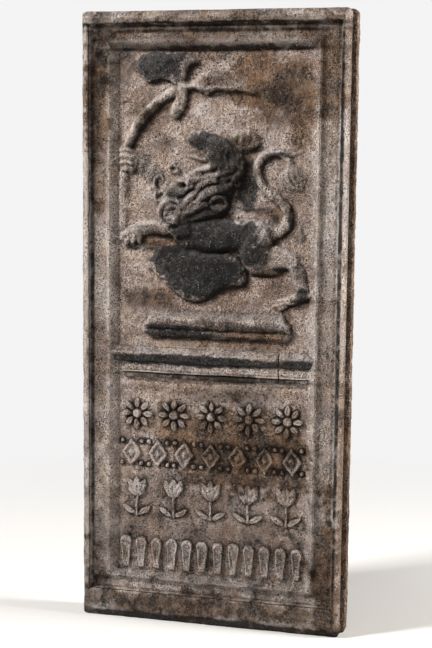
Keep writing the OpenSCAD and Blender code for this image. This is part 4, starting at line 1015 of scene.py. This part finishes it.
petal = shifted(pressed(leaf_outline(12.8, 6.6), (0, 7), 3.1, leaf_levels, (0, 1, 0, 11, 0.8)), 0, 5.6)
flower = repeated(*petal, 8, (0, 0, 0), 2 * math.pi / 8, 0.02, 3)
button = pressed(circle_outline(5.0), (0, 0), 3.4, dome_levels)
corners = np.array([(11.4, 0), (0, 16), (-11.4, 0), (0, -16), (11.4, 0)])
edge = [a + (b - a) * t for a, b in zip(corners[:-1], corners[1:]) for t in np.arange(9) / 9]
lozenge = pressed(edge, (0, 0), 3.6,
                  [(0, 1), (0.12, 0.98), (0.24, 0.8), (0.33, 0.42), (0.46, 0.36), (0.58, 0.46), (0.7, 0.92),
                   (0.79, 1), (0.88, 0.9), (0.95, 0.55), (1, 0), (1, -0.3)])
pellet = pressed(circle_outline(2.5, 12), (0, 0), 2.8, dome_levels)
heart_leaf = pressed(leaf_outline(24.8, 10.4, 11), (0, 13.5), 3.2, leaf_levels, (0, 2, 0, 22, 0.9))
low_leaf = pressed(leaf_outline(20.4, 6.6, 11), (0, 11), 3.0, leaf_levels, (0, 2, 0, 18, 0.7))
stem = pressed([(1.3, -23), (1.3, -12), (1.2, 0), (-1.2, 0), (-1.3, -12), (-1.3, -23)], (0, -11), 2.8,
               flat_levels)
head = [(6.4 * math.cos(a), 11.5 + 6.4 * math.sin(a)) for a in np.radians(np.arange(-10, 191, 20))]
tongue = pressed(
    [(3.3, -18), (4.2, -8), (5.2, 2)] + head + [(-5.2, 2), (-4.2, -8), (-3.3, -18)], (0, 5), 3.3,
    [(0, 0.5), (0.35, 0.52), (0.6, 0.66), (0.76, 1), (0.9, 0.9), (0.97, 0.45), (1, 0), (1, -0.3)])

# Each row as its height over the floor, how many copies it has, how far apart they are, and its motif.
ornament = {
    "rosette_row": (226.5, 5, 41.2, joined([flower, button])),
    "lozenge_row": (184, 7, 29.43, joined(
        [lozenge] + [shifted(pellet, s * 10.6, t * 12.2) for s in (-1, 1) for t in (-1, 1)])),
    "tulip_row": (136, 5, 41.2, joined(
        [shifted(heart_leaf, 0, -2.3, math.radians(a)) for a in (-24, 0, 24)]
        + [shifted(low_leaf, 0, -21.9, math.radians(a)) for a in (-58, 58)] + [stem])),
    "tongue_row": (73.5, 12, 17.17, tongue),
}
near_ornament = np.zeros(height.shape)
for seed, (name, (middle_z, copies, pitch, motif)) in enumerate(ornament.items()):
    points, faces = repeated(*motif, copies, (pitch / 1000, 0, 0), 0, 0.018, 11 + seed)
    points = np.array(points) * 1000
    x, z, h = points[:, 0], points[:, 2] + middle_z, -points[:, 1]
    rows = np.clip(np.round((z - z_line[0]) / grain).astype(int), 0, len(z_line) - 1)
    cols = np.clip(np.round((x - x_line[0]) / grain).astype(int), 0, len(x_line) - 1)
    np.add.at(near_ornament, (rows, cols), h > -0.2)
    proud = h * (0.98 + 0.2 * lumps(x, z, 17, 31)) + np.clip(h, 0, 1) * casting_skin(x, z, 0.9)
    wander_x, wander_z = (0.7 * lumps(x, z, 6, s) + 0.3 * lumps(x, z, 3, s + 2) for s in (32, 33))
    # Painted shade round the foot of each motif, and its top painted lighter, as rubbed and lit.
    finished(name, "iron_relief", np.stack([x + wander_x, face_y - proud, z + wander_z], -1), faces,
             np.interp(h, [0, 1.0, 2.0, 3.2], [0.6, 0.3, 0.0, -0.35]), keen=50,
             rubbed=np.clip(h / 3.2, 0, 1) * 0.7)
near_ornament = np.clip(blurred(np.clip(near_ornament, 0, 1), 4.5) * 5.0, 0, 1)

# ---------------------------------------------------------------------------------------------------
# The casting. The carving's sharp joins are softened as sand softens them, it gets the casting skin, and
# each carved piece is cut out of the grid as a closed piece that reaches into the board. Painted shade lies
# round the carving where what stands up and to the left of a point is higher than the point, as under a
# lamp at the upper left.

def taken_from(values, x, z, nearest=False):
    """Values of the grid at other points."""
    u = np.clip((x - x_line[0]) / grain, 0, len(x_line) - 1.001)
    v = np.clip((z - z_line[0]) / grain, 0, len(z_line) - 1.001)
    if nearest:
        return values[np.round(v).astype(int), np.round(u).astype(int)]
    i, j = u.astype(int), v.astype(int)
    a, b = u - i, v - j
    return ((values[j, i] * (1 - a) + values[j, i + 1] * a) * (1 - b)
            + (values[j + 1, i] * (1 - a) + values[j + 1, i + 1] * a) * b)


grid_x, grid_z = np.meshgrid(x_line, z_line)
shaky_x = grid_x + 0.8 * lumps(grid_x, grid_z, 7, 41) + 0.45 * lumps(grid_x, grid_z, 3, 42)
shaky_z = grid_z + 0.8 * lumps(grid_x, grid_z, 7, 43) + 0.45 * lumps(grid_x, grid_z, 3, 44)
owner = taken_from(owner, shaky_x, shaky_z, True)
height = taken_from(height, shaky_x, shaky_z)
worn = np.clip(0.5 + 0.55 * lumps(grid_x, grid_z, 19, 45) + 0.35 * lumps(grid_x, grid_z, 8, 46), 0, 1)
height = blurred(height, 1.1) * (1 - worn) + blurred(height, 2.4) * worn
height = height * (1 - 0.12 * worn) + np.clip(height / 3, 0, 1) * 0.5 * lumps(grid_x, grid_z, 5.5, 47)
# Painted shade: how much the carving up and to the left stands over each point, as a soft shadow.
above = taken_from(height, grid_x - 1.3, grid_z + 1.9)
shade_below_forms = 0.85 * (blurred(above, 3.8) - height)
height = height + casting_skin(grid_x, grid_z)
slope_z, slope_x = np.gradient(height, grain)
corners = np.stack([height[:-1, :-1], height[:-1, 1:], height[1:, 1:], height[1:, :-1]])
labels = np.stack([owner[:-1, :-1], owner[:-1, 1:], owner[1:, 1:], owner[1:, :-1]])
cells = np.take_along_axis(labels, corners.argmax(0)[None], 0)[0]
normals = np.stack([-slope_x, -np.ones_like(height), -slope_z], -1)
normals /= np.linalg.norm(normals, axis=-1, keepdims=True)
root_depth = 1.0
patina_pieces = ["ground_bar", "halberd_blade", "lion_body", "lion_haunch", "lion_far_hind_leg",
                 "lion_mane", "lion_mane_curls", "lion_head", "lion_lower_jaw"]

for label, name in enumerate(owners[1:], 1):
    mine = cells == label
    rows, cols = np.nonzero(mine)
    used = np.zeros(height.shape, bool)
    for dj in (0, 1):
        for di in (0, 1):
            used[rows + dj, cols + di] = True
    index = np.full(height.shape, -1)
    count = used.sum()
    index[used] = np.arange(count)
    at_rows, at_cols = np.nonzero(used)
    top = np.stack([x_line[at_cols], face_y - height[at_rows, at_cols], z_line[at_rows]], 1)
    bottom = top.copy()
    bottom[:, 1] = face_y + root_depth
    quads = np.stack([index[rows, cols], index[rows, cols + 1], index[rows + 1, cols + 1],
                      index[rows + 1, cols]], 1)
    bordered = np.pad(mine, 1)
    walls = []
    for dj, di, first, second in ((-1, 0, 0, 1), (0, 1, 1, 2), (1, 0, 2, 3), (0, -1, 3, 0)):
        open_side = ~bordered[1 + dj:1 + dj + mine.shape[0], 1 + di:1 + di + mine.shape[1]][rows, cols]
        a, b = quads[open_side, first], quads[open_side, second]
        walls.append(np.stack([b, a, a + count, b + count], 1))
    walls = np.concatenate(walls)
    faces = np.concatenate([quads, quads[:, ::-1] + count, walls])
    loop_normals = np.zeros((len(faces) * 4, 3))
    loop_normals[:len(quads) * 4] = normals[at_rows, at_cols][quads.ravel()]
    hollow = np.concatenate([shade_below_forms[at_rows, at_cols] * 0.36] * 2)
    finished(name, "iron_patina" if name in patina_pieces else "iron_relief", np.concatenate([top, bottom]),
             faces.tolist(), hollow, loop_normals)

# The board itself keeps small cells only beside the carving, where it meets the pieces point for point.
# Elsewhere its cells are three grains wide, and those of its back three times that.
block = 3
coarser = 3
back_block = coarser * block
is_board = np.pad(cells == 0, 1, constant_values=True)
is_piece = np.pad(cells != 0, 1, constant_values=False)
touches_board = is_board[:-1, :-1] | is_board[1:, :-1] | is_board[:-1, 1:] | is_board[1:, 1:]
touches_piece = is_piece[:-1, :-1] | is_piece[1:, :-1] | is_piece[:-1, 1:] | is_piece[1:, 1:]
border = touches_board & touches_piece
board_height = np.where(touches_board, height, -0.6)
across, up = (len(x_line) - 1) // block, (len(z_line) - 1) // block
fine_block = np.zeros((up, across), bool)
for dj in range(block + 1):
    for di in range(block + 1):
        fine_block |= border[dj:dj + up * block:block, di:di + across * block:block][:up, :across]
board_points, number = [], {}


def point_at(j, i):
    """The number of a grid point in the board's list, made the first time it is asked for."""
    if (j, i) not in number:
        number[j, i] = len(board_points)
        board_points.append((x_line[i], face_y - board_height[j, i], z_line[j]))
    return number[j, i]


def edge_points(j0, i0, j1, i1, small):
    """Points from one corner of a block up to the next, with those between where the cells are small."""
    steps = block if small else 1
    return [point_at(j0 + (j1 - j0) * s // steps, i0 + (i1 - i0) * s // steps) for s in range(steps)]


board_faces = []
for bj in range(up):
    for bi in range(across):
        j, i = bj * block, bi * block
        if fine_block[bj, bi]:
            for dj in range(block):
                for di in range(block):
                    board_faces.append([point_at(j + dj, i + di), point_at(j + dj, i + di + 1),
                                        point_at(j + dj + 1, i + di + 1), point_at(j + dj + 1, i + di)])
        else:
            board_faces.append(
                edge_points(j, i, j, i + block, bj > 0 and fine_block[bj - 1, bi])
                + edge_points(j, i + block, j + block, i + block,
                              bi < across - 1 and fine_block[bj, bi + 1])
                + edge_points(j + block, i + block, j + block, i, bj < up - 1 and fine_block[bj + 1, bi])
                + edge_points(j + block, i, j, i, bi > 0 and fine_block[bj, bi - 1]))
front_faces, front_points = len(board_faces), len(board_points)
coarse_slope_z, coarse_slope_x = np.gradient(blurred(height, 1.5), grain)
coarse = np.stack([-coarse_slope_x, -np.ones_like(height), -coarse_slope_z], -1)
coarse /= np.linalg.norm(coarse, axis=-1, keepdims=True)
near_fine = np.zeros(height.shape, bool)
for bj, bi in zip(*np.nonzero(fine_block)):
    near_fine[bj * block:bj * block + block + 1, bi * block:bi * block + block + 1] = True
point_normals = np.array([normals[k] if near_fine[k] else coarse[k] for k in number])
# Painted shade on the board: below and right of the carving, and a dark ring round each ornament.
board_hollow = [shade_below_forms[k] * 0.34 + 1.05 * near_ornament[k] - 0.08 for k in number]

# Round the grid the board runs on under the mouldings, turns the edge and gets its rough back.
loop = ([(0, i * block) for i in range(across)] + [(j * block, across * block) for j in range(up)]
        + [(up * block, i * block) for i in range(across, 0, -1)]
        + [(j * block, 0) for j in range(up, 0, -1)])
board_half = board_high[0] * 1000


def slab_place(j, i):
    """Where a point of the grid's edge or of the back lies when the grid is drawn out to the board."""
    return (x_line[i] * board_half / x_line[-1],
            (z_line[j] - z_line[0]) / (z_line[-1] - z_line[0]) * plate_height)


rim_start = len(board_points)
for j, i in loop:
    x, z = slab_place(j, i)
    board_points.append((x, face_y, z))
for k, (j, i) in enumerate(loop):
    j1, i1 = loop[(k + 1) % len(loop)]
    bj, bi = min(j, j1, (up - 1) * block) // block, min(i, i1, (across - 1) * block) // block
    inner = edge_points(j, i, j1, i1, fine_block[bj, bi]) + [point_at(j1, i1)]
    board_faces.append([rim_start + k, rim_start + (k + 1) % len(loop)] + inner[::-1])
back_number = {}
for j in range(0, up * block + 1, back_block):
    for i in range(0, across * block + 1, back_block):
        x, z = slab_place(j, i)
        inside = 0 < j < up * block and 0 < i < across * block
        back_number[j, i] = len(board_points)
        board_points.append((x, board_back_y - 0.2 - (1.2 * casting_skin(-x, z + 300) if inside else 0), z))
for j in range(0, up * block, back_block):
    for i in range(0, across * block, back_block):
        board_faces.append([back_number[j, i], back_number[j + back_block, i],
                            back_number[j + back_block, i + back_block], back_number[j, i + back_block]])
for k in range(0, len(loop), coarser):
    ahead = (k + coarser) % len(loop)
    board_faces.append([rim_start + k, back_number[loop[k]], back_number[loop[ahead]], rim_start + ahead]
                       + [rim_start + k + c for c in range(coarser - 1, 0, -1)])
board_normals = [point_normals[v] for face in board_faces[:front_faces] for v in face]
board_normals += [(0, 0, 0)] * sum(len(face) for face in board_faces[front_faces:])
board_hollow += [0.15] * (len(board_points) - front_points)
finished("back_plate", "iron_board", board_points, board_faces, board_hollow, np.array(board_normals))

# ---------------------------------------------------------------------------------------------------
# The groove stops: four short blocks that close the grooves at the plate's corners.

groove_floor = 130
points, faces = joined(
    skin(bar(x_from, x_to, face_y, board_back_y, low, high, False, plate_half, 0.8))
    for x_from, x_to in ((-plate_half, -groove_floor), (groove_floor, plate_half))
    for side, low, high in stop_heights)
finished("groove_stops", "iron_rust", points, faces, np.full(len(points), 0.3))

# ---------------------------------------------------------------------------------------------------
# Where it stands and how it is lit: a pale studio floor, a key light that rakes the carving from the
# upper left, a low light on the right edge, and a white surround.

def looked_at(bench):
    """1 where the camera sees a thing, straight or in or through another one, and 0 for its light alone."""
    return (bench.node("ShaderNodeLightPath", output=0) + bench.node("ShaderNodeLightPath", output=3)
            + bench.node("ShaderNodeLightPath", output=6)).held()


floor = bpy.data.objects.new("floor", bpy.data.meshes.new("floor"))
floor.data.from_pydata([(-6, -6, 0), (6, -6, 0), (6, 6, 0), (-6, 6, 0)], [], [(0, 1, 2, 3)])
bpy.context.scene.collection.objects.link(floor)
paper = bpy.data.materials.new("studio_floor")
paper.use_nodes = True
bench = Workbench(paper.node_tree)
spot = bench.node("ShaderNodeTexCoord", output=3)
away = bench.node("ShaderNodeVectorMath", {"operation": "LENGTH"}, 1, i0=spot)
seen = looked_at(bench)
matt = bench.node("ShaderNodeBsdfDiffuse", Color=(0.82, 0.81, 0.79, 1))
glow = bench.node("ShaderNodeEmission", Color=(0.9, 0.9, 0.9, 1), Strength=1.0)
paper_surface = bench.node("ShaderNodeMixShader", i0=seen * ((away - 0.25) * 1.6).held(), i1=matt, i2=glow)
bench.node("ShaderNodeOutputMaterial", Surface=paper_surface)
floor.data.materials.append(paper)


def lamp(name, place, aim, size, watts, colour=(1, 1, 1)):
    """A square lamp that is turned towards its aim."""
    light = bpy.data.lights.new(name, "AREA")
    light.shape, light.size, light.energy, light.color = "SQUARE", size, watts, colour
    stand = bpy.data.objects.new(name, light)
    stand.location = place
    stand.rotation_euler = (Vector(aim) - Vector(place)).to_track_quat("-Z", "Y").to_euler()
    bpy.context.scene.collection.objects.link(stand)


lamp("key", (-1.6, -1.2, 2.0), (0, 0, 0.36), 0.32, 90, (1.0, 0.98, 0.96))
lamp("edge", (1.7, 0.12, 0.8), (0.14, 0, 0.36), 0.5, 48, (1.0, 0.96, 0.92))
lamp("front", (0.6, -2.4, 1.3), (0, 0, 0.33), 1.2, 3)

world = bpy.data.worlds.new("studio")
bpy.context.scene.world = world
world.use_nodes = True
bench = Workbench(world.node_tree)
tone = bench.mixed(looked_at(bench), (0.075, 0.077, 0.08, 1), (0.9, 0.9, 0.9, 1))
sky = bench.node("ShaderNodeBackground", Color=tone, Strength=1.0)
bench.node("ShaderNodeOutputWorld", Surface=sky)
bpy.context.scene.view_settings.view_transform = "Standard"
